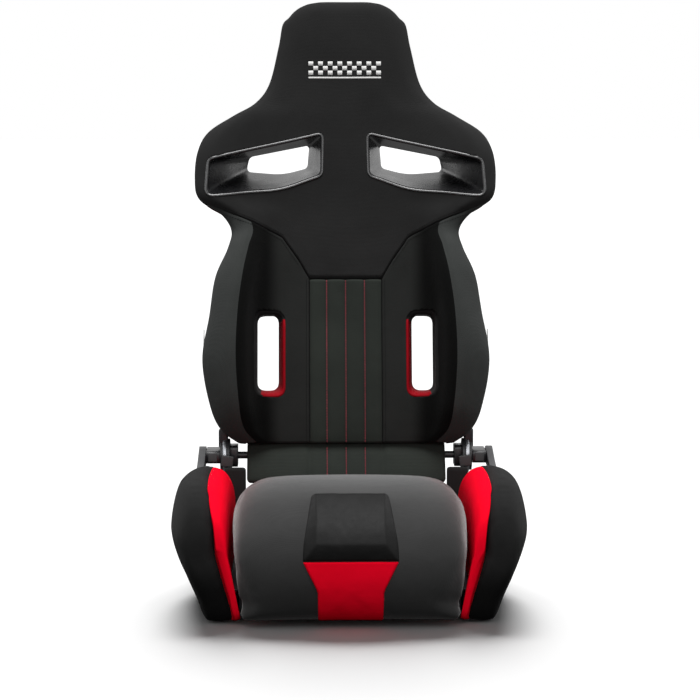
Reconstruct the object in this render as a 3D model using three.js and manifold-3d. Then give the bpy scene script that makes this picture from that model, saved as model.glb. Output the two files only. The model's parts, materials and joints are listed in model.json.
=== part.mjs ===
// Reclining sports seat for road and track cars.
// Millimetres, +Z up, the sitter looks along -Y, so the sitter's left is +X.
// Base and release lever are drawn in the seat's own frame. The backrest is drawn upright
// around its hinge line (x across, z up the back, -y towards the sitter) and then leant back.

import * as THREE from 'three';
import { mergeVertices } from 'three/addons/utils/BufferGeometryUtils.js';
import { ConvexGeometry } from 'three/addons/geometries/ConvexGeometry.js';
import Module from 'manifold-3d';

const wasm = await Module();
wasm.setup();

// ---------- driving dimensions ----------

const gap = { touch: 0.3, run: 0.4, seam: 1.0 };
const sides = [['left', 1], ['right', -1]];

const spacer = { height: 8, radius: 14, frontY: -225, rearY: 104 };
const rail = { outer: 195, width: 30, height: 40, wall: 3, front: -268, rear: 134 };
const crossTube = { radius: 12.5, wall: 2, frontY: -252, rearY: 118 };
const spring = { wire: 2, amplitude: 13, waves: 5, places: [-118, -42, 42, 118] };

const cushion = { half: 184, frontY: -330, rearY: 38, crest: 198, rearTop: 151, bottom: 61, nose: 9 };
const insert = { topHalf: 59, bottomHalf: 72, bottom: 104, rearY: -232, raised: 8, deep: 11 };
const nosePanel = { half: 49, shoulderZ: 63, raised: 1.2, deep: 6 };

const thigh = { offRail: 11, width: 66, top: 211, bottom: 9, frontY: -302, rearY: 60 };
const toe = { reach: 30, offCushion: -8, slope: 6 };
const inlay = { offCushion: 2.5, bottom: 52, drop: 8 };
const wing = { thick: 3, cover: 48, top: 130, front: -228, rear: 20 };

const hinge = { y: 105, z: 190, lean: 14, shaft: 6, disc: 30, eye: 28, clear: 38 };
const bush = { size: 36, thick: 13 };
const bracket = { thick: 5, footFront: 66, footRear: 146, footTop: 52, neck: 48 };
const core = { thick: 6 };
const arm = { thick: 4.5, width: 20, front: 4, top: 140, boltAt: 62 };
const cover = { length: 54, height: 21, thick: 23 };
const lever = { thick: 12, root: 15, tip: 10, reach: 92, drop: 17, side: 3 };
const bolt = { acrossFlats: 16, head: 6 };

const backFoam = { rear: 6.3, bottom: 17 };
const head = { top: 782, half: 112, depth: 34 };
const shoulder = { level: 465, half: 253, depth: 64 };
const waist = { level: 377, half: 195 };
const hip = { level: 155, overArm: 31, depth: 106 };
const flute = { half: 61, top: 296, depth: 27, lumbar: 33 };
const tongue = { offBush: 16, bottom: -48, depth: 36 };

const slot = { inner: 107, outer: 150, bottom: 95, top: 230, corner: 14, liner: 3 };
const harness = { wall: 3.5, frontW: 48, rearW: -38, lip: 3, split: -2 };
const shell = { inset: 4, wall: 3.5, depth: 42, offArm: 21, cornerTop: 74, overHip: 15 };
const frame = { plane: -8, upright: 11, cross: 9, hoop: 8, wire: 4, lumbar: 2.5, low: 40, high: 410 };
const patch = { half: 58, low: 646, high: 668, thick: 1.2 };
const tag = { low: 180, high: 208, near: 36, far: 50, thick: 1.2 };

// ---------- places that follow from them, half widths counted from the middle ----------

const railInner = rail.outer - rail.width;
const thighInner = rail.outer + thigh.offRail;
const thighOuter = thighInner + thigh.width;
const wingReach = thighOuter - wing.cover;
const inlayInner = cushion.half + inlay.offCushion;
const bushInner = rail.outer - bush.thick;
const rise = rail.outer + gap.touch;
const coreX = rise + bracket.thick + gap.touch;
const armX = coreX + core.thick + gap.touch;
const coverX = armX + arm.thick + gap.touch;
const leverX = coverX + cover.thick + gap.run;
const hipHalf = armX + hip.overArm;
const tongueHalf = bushInner - tongue.offBush;
const widest = Math.max(shoulder.half, hipHalf + shell.overHip);

// ---------- materials ----------

function surface(color, roughness, metalness = 0) {
  return new THREE.MeshStandardMaterial({ color, roughness, metalness });
}

const knit = surface(0x1d1d1d, 0.95);
const fluteCloth = surface(0x2c302c, 0.9);
const crestCloth = surface(0x404240, 0.9);
const seatCloth = surface(0x525252, 0.9);
const redCloth = surface(0xd00a25, 0.85);
const padHide = surface(0x404040, 0.55);
const blackPlastic = surface(0x18181a, 0.5);
const greyPlastic = surface(0x5c5c5e, 0.45);
const paintedSteel = surface(0x26272a, 0.45, 0.6);
const bareSteel = surface(0x8a8c90, 0.35, 1);
const springSteel = surface(0x55575a, 0.4, 1);
const whiteThread = surface(0xe8e8e6, 0.8);

// ---------- drawing helpers ----------

function toSolid(geometry) {
  const bare = geometry.clone();
  bare.deleteAttribute('normal');
  bare.deleteAttribute('uv');
  const merged = mergeVertices(bare, 1e-4);
  return new wasm.Manifold(new wasm.Mesh({
    numProp: 3,
    vertProperties: new Float32Array(merged.attributes.position.array),
    triVerts: new Uint32Array(merged.index.array),
  }));
}

function toGeometry(solid, sign = 1) {
  const mesh = solid.getMesh();
  const places = Float32Array.from(mesh.vertProperties, (value, i) => (i % 3 === 0 ? value * sign : value));
  const corners = Uint32Array.from(mesh.triVerts);
  for (let i = 0; sign < 0 && i < corners.length; i += 3) {
    [corners[i], corners[i + 1]] = [corners[i + 1], corners[i]];
  }
  const geometry = new THREE.BufferGeometry();
  geometry.setAttribute('position', new THREE.BufferAttribute(places, 3));
  geometry.setIndex(new THREE.BufferAttribute(corners, 1));
  geometry.computeVertexNormals();
  return geometry;
}

function add(group, name, solid, material, sign = 1) {
  const mesh = new THREE.Mesh(toGeometry(solid, sign), material);
  mesh.name = name;
  group.add(mesh);
  return mesh;
}

const vectors = (points) => points.map(([a, b]) => new THREE.Vector2(a, b));

// A smooth line through a few chosen points, as evenly spaced corners.
function curve(points, count) {
  return new THREE.SplineCurve(vectors(points)).getSpacedPoints(count).map((p) => [p.x, p.y]);
}

// The right half of an outline, closed by its own reflection.
const mirrored = (half) => [...half, ...half.map(([x, z]) => [-x, z]).reverse()];

const circle = (radius, count, [a, b] = [0, 0]) => Array.from({ length: count }, (_, i) => {
  const turn = (2 * Math.PI * i) / count;
  return [a + radius * Math.cos(turn), b + radius * Math.sin(turn)];
});

const box = (a0, a1, b0, b1) => [[a0, b0], [a1, b0], [a1, b1], [a0, b1]];

function roundedBox(a0, a1, b0, b1, wanted, steps = 4) {
  const radius = Math.min(wanted, (a1 - a0) / 2.02, (b1 - b0) / 2.02);
  const corners = [[a1 - radius, b1 - radius], [a0 + radius, b1 - radius],
    [a0 + radius, b0 + radius], [a1 - radius, b0 + radius]];
  return corners.flatMap(([a, b], quarter) => Array.from({ length: steps + 1 }, (_, i) => {
    const turn = (Math.PI / 2) * (quarter + i / steps);
    return [a + radius * Math.cos(turn), b + radius * Math.sin(turn)];
  }));
}

// Moves every edge of a closed outline inwards by a distance (outwards when it is negative).
function inset(points, distance) {
  const area = points.reduce((sum, [a, b], i) => {
    const [c, d] = points[(i + 1) % points.length];
    return sum + a * d - b * c;
  }, 0);
  const turn = Math.sign(area);
  return points.map(([a, b], i) => {
    const [pa, pb] = points[(i + points.length - 1) % points.length];
    const [na, nb] = points[(i + 1) % points.length];
    const before = new THREE.Vector2(a - pa, b - pb).normalize();
    const after = new THREE.Vector2(na - a, nb - b).normalize();
    const normal = new THREE.Vector2(-before.y - after.y, before.x + after.x).normalize().multiplyScalar(turn);
    const stretch = Math.max(0.5, normal.dot(new THREE.Vector2(-after.y, after.x).multiplyScalar(turn)));
    return [a + (normal.x * distance) / stretch, b + (normal.y * distance) / stretch];
  });
}

// An outline pushed straight along one axis. The outline's two coordinates are the other
// two axes: y,z for a prism along x, x,z for one along y, and x,y for one along z.
function prism(axis, outline, low, high, holes = []) {
  const shape = new THREE.Shape(vectors(outline));
  shape.holes = holes.map((hole) => new THREE.Path(vectors(hole)));
  const geometry = new THREE.ExtrudeGeometry(shape, { depth: high - low, bevelEnabled: false });
  if (axis === 'x') {
    geometry.applyMatrix4(new THREE.Matrix4().makeBasis(
      new THREE.Vector3(0, 1, 0), new THREE.Vector3(0, 0, 1), new THREE.Vector3(1, 0, 0)));
    geometry.translate(low, 0, 0);
  }
  if (axis === 'y') {
    geometry.rotateX(Math.PI / 2);
    geometry.translate(0, high, 0);
  }
  if (axis === 'z') geometry.translate(0, 0, low);
  return toSolid(geometry);
}

// Backrest outlines are written with w, the distance towards the sitter.
const plan = (points) => points.map(([x, w]) => [x, -w]);
const profile = (points) => points.map(([z, w]) => [-w, z]);

// A round bar bent along a path.
function bentBar(points, radius, steps, count) {
  const path = new THREE.CatmullRomCurve3(points.map((p) => new THREE.Vector3(...p)), false, 'centripetal');
  const section = new THREE.Shape(vectors(circle(radius, count)));
  return toSolid(new THREE.ExtrudeGeometry(section, { steps, extrudePath: path, bevelEnabled: false }));
}

function ringTube(outer, wall, low, high, centre) {
  return prism('x', circle(outer, 16, centre), low, high, [circle(outer - wall, 16, centre)]);
}

const shaftHole = () => prism('x', circle(hinge.shaft + gap.run, 24, [hinge.y, hinge.z]), 0, 400);

// ---------- base: rails, tubes and springs ----------

const railBottom = spacer.height + gap.touch;
const railTop = railBottom + rail.height;
const tubeZ = railTop - crossTube.radius - 1;

function sideRail() {
  const outer = box(railInner, rail.outer, railBottom, railTop);
  return prism('y', outer, rail.front, rail.rear, [inset(outer, rail.wall)]);
}

function seatCrossTube(y) {
  const reach = railInner - gap.touch;
  return ringTube(crossTube.radius, crossTube.wall, -reach, reach, [y, tubeZ]);
}

function seatSpring(x) {
  const z = tubeZ + crossTube.radius + spring.wire + gap.touch;
  const start = crossTube.frontY;
  const pitch = (crossTube.rearY - start) / (2 * spring.waves + 2);
  const turns = Array.from({ length: 2 * spring.waves + 1 }, (_, i) => {
    const offset = i === 0 || i === 2 * spring.waves ? 0 : spring.amplitude * (i % 2 ? 1 : -1);
    return [x + offset, start + pitch * (i + 1), z];
  });
  const path = [[x, start - 4, z], ...turns, [x, crossTube.rearY + 4, z]];
  return bentBar(path, spring.wire, 36, 5);
}

function mountSpacer(x, y) {
  return prism('z', circle(spacer.radius, 20, [x, y]), 0, spacer.height);
}

// ---------- base: cushion, insert pad and nose panel ----------

const cushionProfile = [
  ...curve([
    [cushion.rearY, cushion.rearTop], [0, cushion.rearTop + 10], [-80, cushion.crest - 12],
    [-180, cushion.crest], [-235, cushion.crest - 6], [-282, cushion.crest - 24],
    [cushion.frontY + 10, cushion.crest - 54], [cushion.frontY, insert.bottom],
    [cushion.frontY + 1, nosePanel.shoulderZ], [cushion.frontY + 10, cushion.nose + 5],
  ], 30),
  [cushion.frontY + 18, cushion.nose], [cushion.frontY + 30, cushion.nose],
  [cushion.frontY + 38, cushion.nose + 12], [cushion.frontY + 44, cushion.bottom],
  [cushion.rearY + 22, cushion.bottom],
];

const cushionFront = mirrored([
  ...curve([
    [0, cushion.crest + 1], [90, cushion.crest], [cushion.half - 36, cushion.crest - 6],
    [cushion.half - 10, cushion.crest - 22], [cushion.half, cushion.crest - 58],
    [cushion.half - 5, 90], [cushion.half - 12, 50], [cushion.half - 20, 14],
  ], 16),
  [cushion.half - 34, cushion.nose - 1],
]);

const cushionPlan = mirrored(curve([
  [cushion.half - 20, cushion.frontY - 2], [cushion.half - 6, cushion.frontY + 40],
  [cushion.half, cushion.frontY + 130], [cushion.half - 1, -80], [cushion.half - 8, 0],
  [cushion.half - 14, cushion.rearY + 24],
], 12));

// The layer that lies between two depths under the cushion's surface.
function surfaceLayer(raised, deep) {
  const wide = prism('x', inset(cushionProfile, -raised), -200, 200);
  const core = prism('x', inset(cushionProfile, deep), -201, 201);
  return wide.subtract(core);
}

const insertFront = mirrored([
  [insert.topHalf, cushion.crest + 30], [insert.topHalf, cushion.crest - 4],
  [insert.bottomHalf, insert.bottom + gap.seam],
]);

const noseFront = mirrored([
  [insert.bottomHalf, insert.bottom], [nosePanel.half, nosePanel.shoulderZ],
  [nosePanel.half, cushion.nose + 2],
]);

function insertPad(grow) {
  return surfaceLayer(insert.raised + grow, insert.deep + grow)
    .intersect(prism('y', inset(insertFront, -grow), cushion.frontY - 40, insert.rearY + grow));
}

function nosePad(grow) {
  return surfaceLayer(nosePanel.raised + grow, nosePanel.deep + grow)
    .intersect(prism('y', inset(noseFront, -grow), cushion.frontY - 40, cushion.frontY + 26));
}

function seatCushion() {
  return prism('x', cushionProfile, -cushion.half - 1, cushion.half + 1)
    .intersect(prism('y', cushionFront, cushion.frontY - 5, cushion.rearY + 40))
    .intersect(prism('z', cushionPlan, 0, cushion.crest + 10))
    .subtract(insertPad(gap.touch))
    .subtract(nosePad(gap.touch));
}

// ---------- base: thigh bolsters ----------

const thighProfile = (top) => [
  ...curve([
    [thigh.frontY + 17, thigh.bottom], [thigh.frontY + 4, 60], [thigh.frontY, 110],
    [thigh.frontY + 10, top - 50], [thigh.frontY + 34, top - 19], [-225, top - 4], [-150, top],
    [-60, top - 5], [-10, top - 15], [30, top - 31], [thigh.rearY - 8, top - 50],
    [thigh.rearY, top - 72],
  ], 26),
  [thigh.rearY, thigh.bottom],
];

const thighSection = [
  ...curve([
    [thighOuter - 44, thigh.bottom - 1], [thighOuter - 22, 40], [thighOuter - 7, 80],
    [thighOuter, 123], [thighOuter - 4, 165], [thighOuter - 16, thigh.top - 13],
    [thighOuter - 30, thigh.top], [thighInner + 22, thigh.top - 2], [thighInner + 12, thigh.top - 14],
    [thighInner + 4, thigh.top - 44], [thighInner, 110], [thighInner - 2, inlay.bottom],
  ], 26),
  [thighInner - 4, thigh.bottom - 1],
];

const beside = leverX - lever.side;
const leverFront = hinge.y - lever.reach - lever.tip;

const thighPlan = [
  ...curve([
    [thighOuter - 24, thigh.frontY - 1], [thighOuter - 9, thigh.frontY + 34], [thighOuter, -180],
    [thighOuter, -120], [thighOuter - 12, -66], [beside + 3, leverFront - 14], [beside - 2, 24],
    [beside - 5, thigh.rearY + 1],
  ], 16),
  [thighInner - 8, thigh.rearY + 1], [thighInner - 8, thigh.frontY - 1],
];

const wingSection = [
  [rail.outer + gap.touch, railBottom], [wingReach, railBottom], [wingReach, wing.top],
  [wingReach - wing.thick, wing.top], [wingReach - wing.thick, railBottom + wing.thick],
  [rail.outer + gap.touch, railBottom + wing.thick],
];

// The low front corner that reaches in towards the cushion, ahead of the rail and under the inlay.
const toeInner = Math.max(thighInner - toe.reach, cushion.half + toe.offCushion);
const toeSection = [
  [toeInner, thigh.bottom - 1], [toeInner + toe.slope, inlay.bottom - gap.seam],
  [thighInner, inlay.bottom - gap.seam], [thighInner, thigh.bottom - 1],
];

function thighBolster() {
  const outline = prism('x', thighProfile(thigh.top), 150, thighOuter + 10);
  const front = prism('y', toeSection, thigh.frontY - 5, rail.front - gap.seam);
  return prism('y', thighSection, thigh.frontY - 5, thigh.rearY + 5)
    .intersect(prism('z', thighPlan, 0, thigh.top + 10))
    .add(front)
    .intersect(outline)
    .subtract(prism('y', inset(wingSection, -gap.run), wing.front - gap.run, wing.rear + gap.run));
}

function bolsterInlay() {
  const section = [
    ...curve([
      [inlayInner, inlay.bottom], [inlayInner, 110], [inlayInner + 1, thigh.top - 60],
      [inlayInner + 6, thigh.top - 38], [inlayInner + 17, thigh.top - 20],
      [thighInner + 9, thigh.top - 10],
    ], 12),
    ...curve([
      [thighInner + 9, thigh.top - 20], [thighInner + 1.5, thigh.top - 46],
      [thighInner - 2, 110], [thighInner - 4, inlay.bottom],
    ], 8),
  ];
  return prism('x', thighProfile(thigh.top - inlay.drop), inlayInner - 10, thighInner + 40)
    .intersect(prism('y', section, thigh.frontY + 6, thigh.rearY - 6));
}

// ---------- base: recliner ----------

function reclinerBracket() {
  const foot = box(bracket.footFront, bracket.footRear, railBottom, bracket.footTop);
  const neck = [
    [bracket.footFront, bracket.footTop - 1], [bracket.footRear, bracket.footTop - 1],
    [hinge.y + bracket.neck / 2, hinge.z - 90], [hinge.y + bracket.neck / 2, hinge.z],
    [hinge.y - bracket.neck / 2, hinge.z], [hinge.y - bracket.neck / 2, hinge.z - 90],
  ];
  const eye = circle(hinge.eye, 28, [hinge.y, hinge.z]);
  return prism('x', foot, rise, rise + bracket.thick)
    .add(prism('x', neck, rise, rise + bracket.thick))
    .add(prism('x', eye, rise, rise + bracket.thick))
    .subtract(shaftHole());
}

function reclinerBush() {
  const half = bush.size / 2;
  const outline = roundedBox(hinge.y - half, hinge.y + half, hinge.z - half, hinge.z + half, 6, 3);
  return prism('x', outline, bushInner, rail.outer).subtract(shaftHole());
}

function reclinerCore() {
  return prism('x', circle(hinge.disc, 28, [hinge.y, hinge.z]), coreX, coreX + core.thick)
    .subtract(shaftHole());
}

// ---------- release: cross shaft and levers ----------

function crossShaft() {
  const reach = leverX + lever.thick / 2;
  return prism('x', circle(hinge.shaft, 24, [hinge.y, hinge.z]), -reach, reach);
}

function releaseLever() {
  const tip = [hinge.y - lever.reach, hinge.z - lever.drop];
  const outline = [
    ...circle(lever.root, 24, [hinge.y, hinge.z]).slice(0, 7),
    ...curve([[hinge.y - 12, hinge.z + 12], [hinge.y - 50, hinge.z + 1], [tip[0] + 6, tip[1] + lever.tip]], 6),
    ...circle(lever.tip, 16, tip).slice(5, 12),
    ...curve([[tip[0] + 4, tip[1] - lever.tip], [hinge.y - 52, hinge.z - 20], [hinge.y - 14, hinge.z - 14]], 6),
    ...circle(lever.root, 24, [hinge.y, hinge.z]).slice(17, 24),
  ];
  const middle = leverX + lever.thick / 2;
  const blind = prism('x', circle(hinge.shaft + gap.touch, 24, [hinge.y, hinge.z]), leverX - 1, middle + gap.run);
  return prism('x', outline, leverX, leverX + lever.thick).subtract(blind);
}

// ---------- backrest: outline and soft parts ----------

const backEdge = mirrored([
  ...curve([
    [0, head.top + 1], [head.half * 0.5, head.top], [head.half * 0.72, head.top - 7],
    [head.half - 20, head.top - 17], [head.half - 8, head.top - 38], [head.half, head.top - 82],
    [head.half + 9, shoulder.level + 192], [head.half + 16, shoulder.level + 167],
    [head.half + 54, shoulder.level + 124],
    [shoulder.half - 55, shoulder.level + 101], [shoulder.half - 22, shoulder.level + 77],
    [shoulder.half - 6, shoulder.level + 44], [shoulder.half, shoulder.level],
    [shoulder.half - 4, shoulder.level - 31], [shoulder.half - 20, shoulder.level - 50],
    [waist.half + 6, waist.level + 20], [waist.half, waist.level], [waist.half + 12, waist.level - 64],
    [hipHalf - 12, hip.level + 75], [hipHalf, hip.level], [hipHalf - 8, hip.level - 65],
    [hipHalf - 25, hip.level - 102], [hipHalf - 40, hip.level - 124], [hipHalf - 62, backFoam.bottom],
  ], 50),
]);

// The seam under the yoke, from the waist inwards to the corner of the fluted panel.
const yokeSeam = [
  [widest + 60, waist.level + 44], [waist.half - 4, waist.level + 26],
  [waist.half - 40, waist.level + 13], [flute.half + 54, waist.level - 6],
  [flute.half + 45, waist.level - 11], [flute.half + 18, flute.top + 31], [flute.half, flute.top],
];

const behind = backFoam.rear;

const headPlan = mirrored(plan([
  [head.half + 60, behind], [head.half + 30, behind + 8], [head.half, behind + 17],
  [head.half * 0.8, head.depth - 3], [head.half * 0.5, head.depth],
]));

const headProfile = profile([
  [shoulder.level - 20, behind], [shoulder.level - 20, head.depth], [head.top - 60, head.depth],
  [head.top - 25, head.depth - 5], [head.top - 8, head.depth - 13], [head.top + 2, behind + 8],
  [head.top + 2, behind],
]);

const shoulderPlan = mirrored(plan([
  [shoulder.half - 16, behind], [shoulder.half - 6, behind + 9], [shoulder.half + 2, behind + 28],
  [shoulder.half, shoulder.depth - 10], [shoulder.half - 14, shoulder.depth],
  [shoulder.half - 40, shoulder.depth - 3], [shoulder.half - 84, 46], [shoulder.half - 134, 36],
  [flute.half, 31], [flute.half - 30, 30],
]));

const shoulderProfile = profile([
  [flute.top - 40, behind], [flute.top - 40, 44], [waist.level + 12, 56],
  [shoulder.level - 10, shoulder.depth], [shoulder.level + 75, shoulder.depth],
  [shoulder.level + 115, 48], [shoulder.level + 160, 30], [shoulder.level + 200, behind],
]);

function backBlank(planOutline, profileOutline) {
  return prism('y', backEdge, -120, 0)
    .intersect(prism('z', planOutline, -60, head.top + 10))
    .intersect(prism('x', profileOutline, -widest - 20, widest + 20));
}

// The funnel that a shoulder strap passes through, grown by a distance.
const strapFront = [[37, 543], [38, 470], [112, 443], [224, 444], [219, 497]];
const strapRear = [[61, 541], [64, 501], [107, 489], [171, 494], [166, 520]];

function strapFunnel(grow) {
  const reach = 40;
  const span = harness.frontW - harness.rearW;
  const front = inset(strapFront, -grow);
  const rear = inset(strapRear, -grow);
  const corners = front.flatMap(([x, z], i) => {
    const slope = [(x - rear[i][0]) / span, (z - rear[i][1]) / span];
    return [
      new THREE.Vector3(x + slope[0] * reach, -harness.frontW - reach, z + slope[1] * reach),
      new THREE.Vector3(rear[i][0], -harness.rearW, rear[i][1]),
      new THREE.Vector3(rear[i][0], -harness.rearW + 20, rear[i][1]),
    ];
  });
  return toSolid(new ConvexGeometry(corners));
}

function bothSides(solid) {
  return solid.add(toSolid(toGeometry(solid, -1)));
}

function yokePad() {
  const seam = yokeSeam.map(([x, z]) => [x, z + gap.seam / 2]);
  const region = mirrored([[0, head.top + 20], [widest + 60, head.top + 20], ...seam]);
  return backBlank(headPlan, headProfile)
    .add(backBlank(shoulderPlan, shoulderProfile))
    .intersect(prism('y', region, -130, 10))
    .subtract(bothSides(strapFunnel(harness.wall + gap.touch)));
}

const bolsterPlan = plan([
  [flute.half - 5, behind], [flute.half - 5, flute.depth + 1], [slot.inner - 6, 31], [slot.inner + 12, 37],
  [slot.outer, 60], [slot.outer + 14, 88], [hipHalf - 60, hip.depth - 4], [hipHalf - 48, hip.depth],
  [hipHalf - 32, hip.depth - 7], [hipHalf - 12, 80], [hipHalf, 60], [hipHalf - 1, 42],
  [hipHalf - 8, 20], [hipHalf - 16, behind],
]);

const bolsterProfile = profile([
  [backFoam.bottom - 1, behind], [backFoam.bottom - 1, 40], [30, 58], [60, 76], [110, hip.depth - 8],
  [hip.level, hip.depth], [250, hip.depth], [flute.top, hip.depth - 12], [345, 72], [waist.level + 8, 52],
  [waist.level + 50, 44], [waist.level + 50, behind],
]);

const slotOutline = (grow) => roundedBox(slot.inner - grow, slot.outer + grow, slot.bottom - grow,
  slot.top + grow, slot.corner + grow);

function backBolster() {
  const seam = yokeSeam.map(([x, z]) => [x, z - gap.seam / 2]);
  const edge = flute.half + gap.seam;
  const region = [...seam.slice(0, -1), [edge, flute.top], [edge, 0], [seam[0][0], 0]];
  return backBlank(bolsterPlan, bolsterProfile)
    .intersect(prism('y', region, -130, 10))
    .subtract(prism('y', slotOutline(slot.liner + gap.touch), -130, 10))
    .subtract(prism('x', circle(hinge.clear, 24), bushInner - 6, 300));
}

function centrePad() {
  const across = mirrored(plan([[flute.half, behind], [flute.half, flute.lumbar + 4]]));
  const along = profile([
    [backFoam.bottom, behind], [backFoam.bottom, flute.depth], [60, flute.lumbar - 1],
    [120, flute.lumbar], [200, flute.depth + 2], [flute.top - gap.seam, flute.depth],
    [flute.top - gap.seam, behind],
  ]);
  return backBlank(across, along);
}

function tonguePad() {
  const top = backFoam.bottom - gap.seam;
  const along = profile([
    [top, 10], [top, 22], [-5, 25], [-30, 33], [tongue.bottom + 2, tongue.depth],
    [tongue.bottom, tongue.depth - 6], [tongue.bottom + 2, 22], [-22, 11],
  ]);
  return prism('x', along, -tongueHalf, tongueHalf);
}

// ---------- backrest: shell, frame and trim ----------

// The shell's outer form, or with a wall's thickness taken off, the hollow inside it.
function shellBlank(wall, front) {
  const bend = mirrored(plan([
    [widest + 10, front], [widest - 12, wall - 6], [widest - 48, 12 - shell.depth + wall],
    [150, 2 - shell.depth + wall], [60, wall - shell.depth],
  ]));
  return prism('y', inset(backEdge, shell.inset + wall), -front, shell.depth + 2)
    .intersect(prism('z', bend, -20, head.top + 10));
}

function rearShell() {
  const corner = prism('y', box(armX - shell.offArm, 300, -20, shell.cornerTop), -20, 60);
  const front = backFoam.rear - 2 * gap.touch;
  return shellBlank(0, front)
    .subtract(shellBlank(shell.wall, front + 5))
    .subtract(bothSides(strapFunnel(harness.wall + gap.touch)))
    .subtract(bothSides(prism('y', slotOutline(slot.liner + gap.touch), -20, 60)))
    .subtract(bothSides(corner));
}

function strapBezel(front) {
  const funnel = strapFunnel(harness.wall).subtract(strapFunnel(0));
  if (!front) return funnel.intersect(prism('y', box(0, 300, 400, 600), -harness.split + gap.touch, shell.depth));
  const raised = inset(shoulderPlan, -harness.lip);
  return funnel.intersect(prism('z', raised, 400, 600))
    .intersect(prism('y', box(0, 300, 400, 600), -100, -harness.split));
}

function slotLiner() {
  return prism('y', slotOutline(slot.liner), -33, shell.depth - 3, [slotOutline(0)]);
}

const inPlane = (points) => points.map(([x, z]) => [x, -frame.plane, z]);

function upright() {
  const x = armX - gap.seam - frame.upright;
  return bentBar(inPlane([
    [x, frame.low], [x, 120], [x - 10, 230], [waist.half - 26, 335], [waist.half - 31, frame.high],
  ]), frame.upright, 12, 12);
}

function backCross(z, reach) {
  return prism('x', circle(frame.cross, 12, [-frame.plane, z]), -reach, reach);
}

function headHoop() {
  const half = [[28, frame.high + 27], [28, shoulder.level + 95], [60, shoulder.level + 155],
    [head.half - 36, head.top - 92], [head.half - 48, head.top - 44], [0, head.top - 26]];
  const path = [...half, ...half.slice(0, -1).map(([x, z]) => [-x, z]).reverse()];
  return bentBar(inPlane(path), frame.hoop, 32, 8);
}

function shoulderWire() {
  return bentBar(inPlane([
    [waist.half - 28, frame.high + 15], [shoulder.half - 55, frame.high + 21],
    [shoulder.half - 35, shoulder.level - 10], [shoulder.half - 33, shoulder.level + 35],
    [shoulder.half - 53, shoulder.level + 80], [head.half + 38, shoulder.level + 111], [head.half - 28, shoulder.level + 135],
  ]), frame.wire, 18, 6);
}

function lumbarWire(z, reach) {
  const path = [[-reach, -frame.plane, z], [-reach / 2, 6 - frame.plane, z], [0, 9 - frame.plane, z],
    [reach / 2, 6 - frame.plane, z], [reach, -frame.plane, z]];
  return bentBar(path, frame.lumbar, 12, 6);
}

function hingeArm() {
  const eye = circle(hinge.eye - 2, 28);
  const strip = [[arm.width - arm.front, 0], [arm.width - arm.front, arm.top], [-arm.front, arm.top], [-arm.front, 0]];
  return prism('x', eye, armX, armX + arm.thick)
    .add(prism('x', strip, armX, armX + arm.thick))
    .subtract(prism('x', circle(hinge.shaft + gap.run, 24), 0, 400));
}

function hingeCover() {
  const outline = roundedBox(-cover.length / 2, cover.length / 2, -cover.height / 2, cover.height / 2, 5, 3);
  return prism('x', outline, coverX, coverX + cover.thick)
    .subtract(prism('x', circle(hinge.shaft + gap.run, 24), 0, 400));
}

function armBolt(z) {
  const across = bolt.acrossFlats / Math.sqrt(3);
  return prism('x', circle(across, 6, [8 - arm.front, z]), coverX, coverX + bolt.head);
}

// ---------- assembly ----------

const seat = new THREE.Group();
const base = new THREE.Group();
const release = new THREE.Group();
const back = new THREE.Group();
const hub = new THREE.Group();
seat.add(base, release, back);
back.add(hub);
back.position.set(0, hinge.y, hinge.z);
back.rotation.x = -THREE.MathUtils.degToRad(hinge.lean);
hub.rotation.x = THREE.MathUtils.degToRad(hinge.lean);

add(base, 'front_cross_tube', seatCrossTube(crossTube.frontY), paintedSteel);
add(base, 'rear_cross_tube', seatCrossTube(crossTube.rearY), paintedSteel);
spring.places.forEach((x, i) => add(base, `seat_spring_${i + 1}`, seatSpring(x), springSteel));
add(base, 'seat_cushion', seatCushion(), seatCloth);
add(base, 'front_insert_pad', insertPad(0), padHide);
add(base, 'nose_panel', nosePad(0), redCloth);
add(release, 'cross_shaft', crossShaft(), bareSteel);

add(back, 'yoke_pad', yokePad(), knit);
add(back, 'centre_pad', centrePad(), fluteCloth);
add(back, 'tongue_pad', tonguePad(), fluteCloth);
add(back, 'rear_shell', rearShell(), blackPlastic);
add(back, 'lower_cross_bar', backCross(frame.low + 10, armX - 2 * frame.upright - 2 * gap.touch - gap.seam), paintedSteel);
add(back, 'upper_cross_bar', backCross(frame.high + 15, waist.half - 31), paintedSteel);
add(back, 'head_hoop', headHoop(), paintedSteel);
add(back, 'lumbar_wire_low', lumbarWire(slot.top + 24, 166), springSteel);
add(back, 'lumbar_wire_high', lumbarWire(flute.top + 44, 152), springSteel);
add(back, 'head_patch', prism('y', box(-patch.half, patch.half, patch.low, patch.high),
  -head.depth - gap.run - patch.thick, -head.depth - gap.run), whiteThread);

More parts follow.
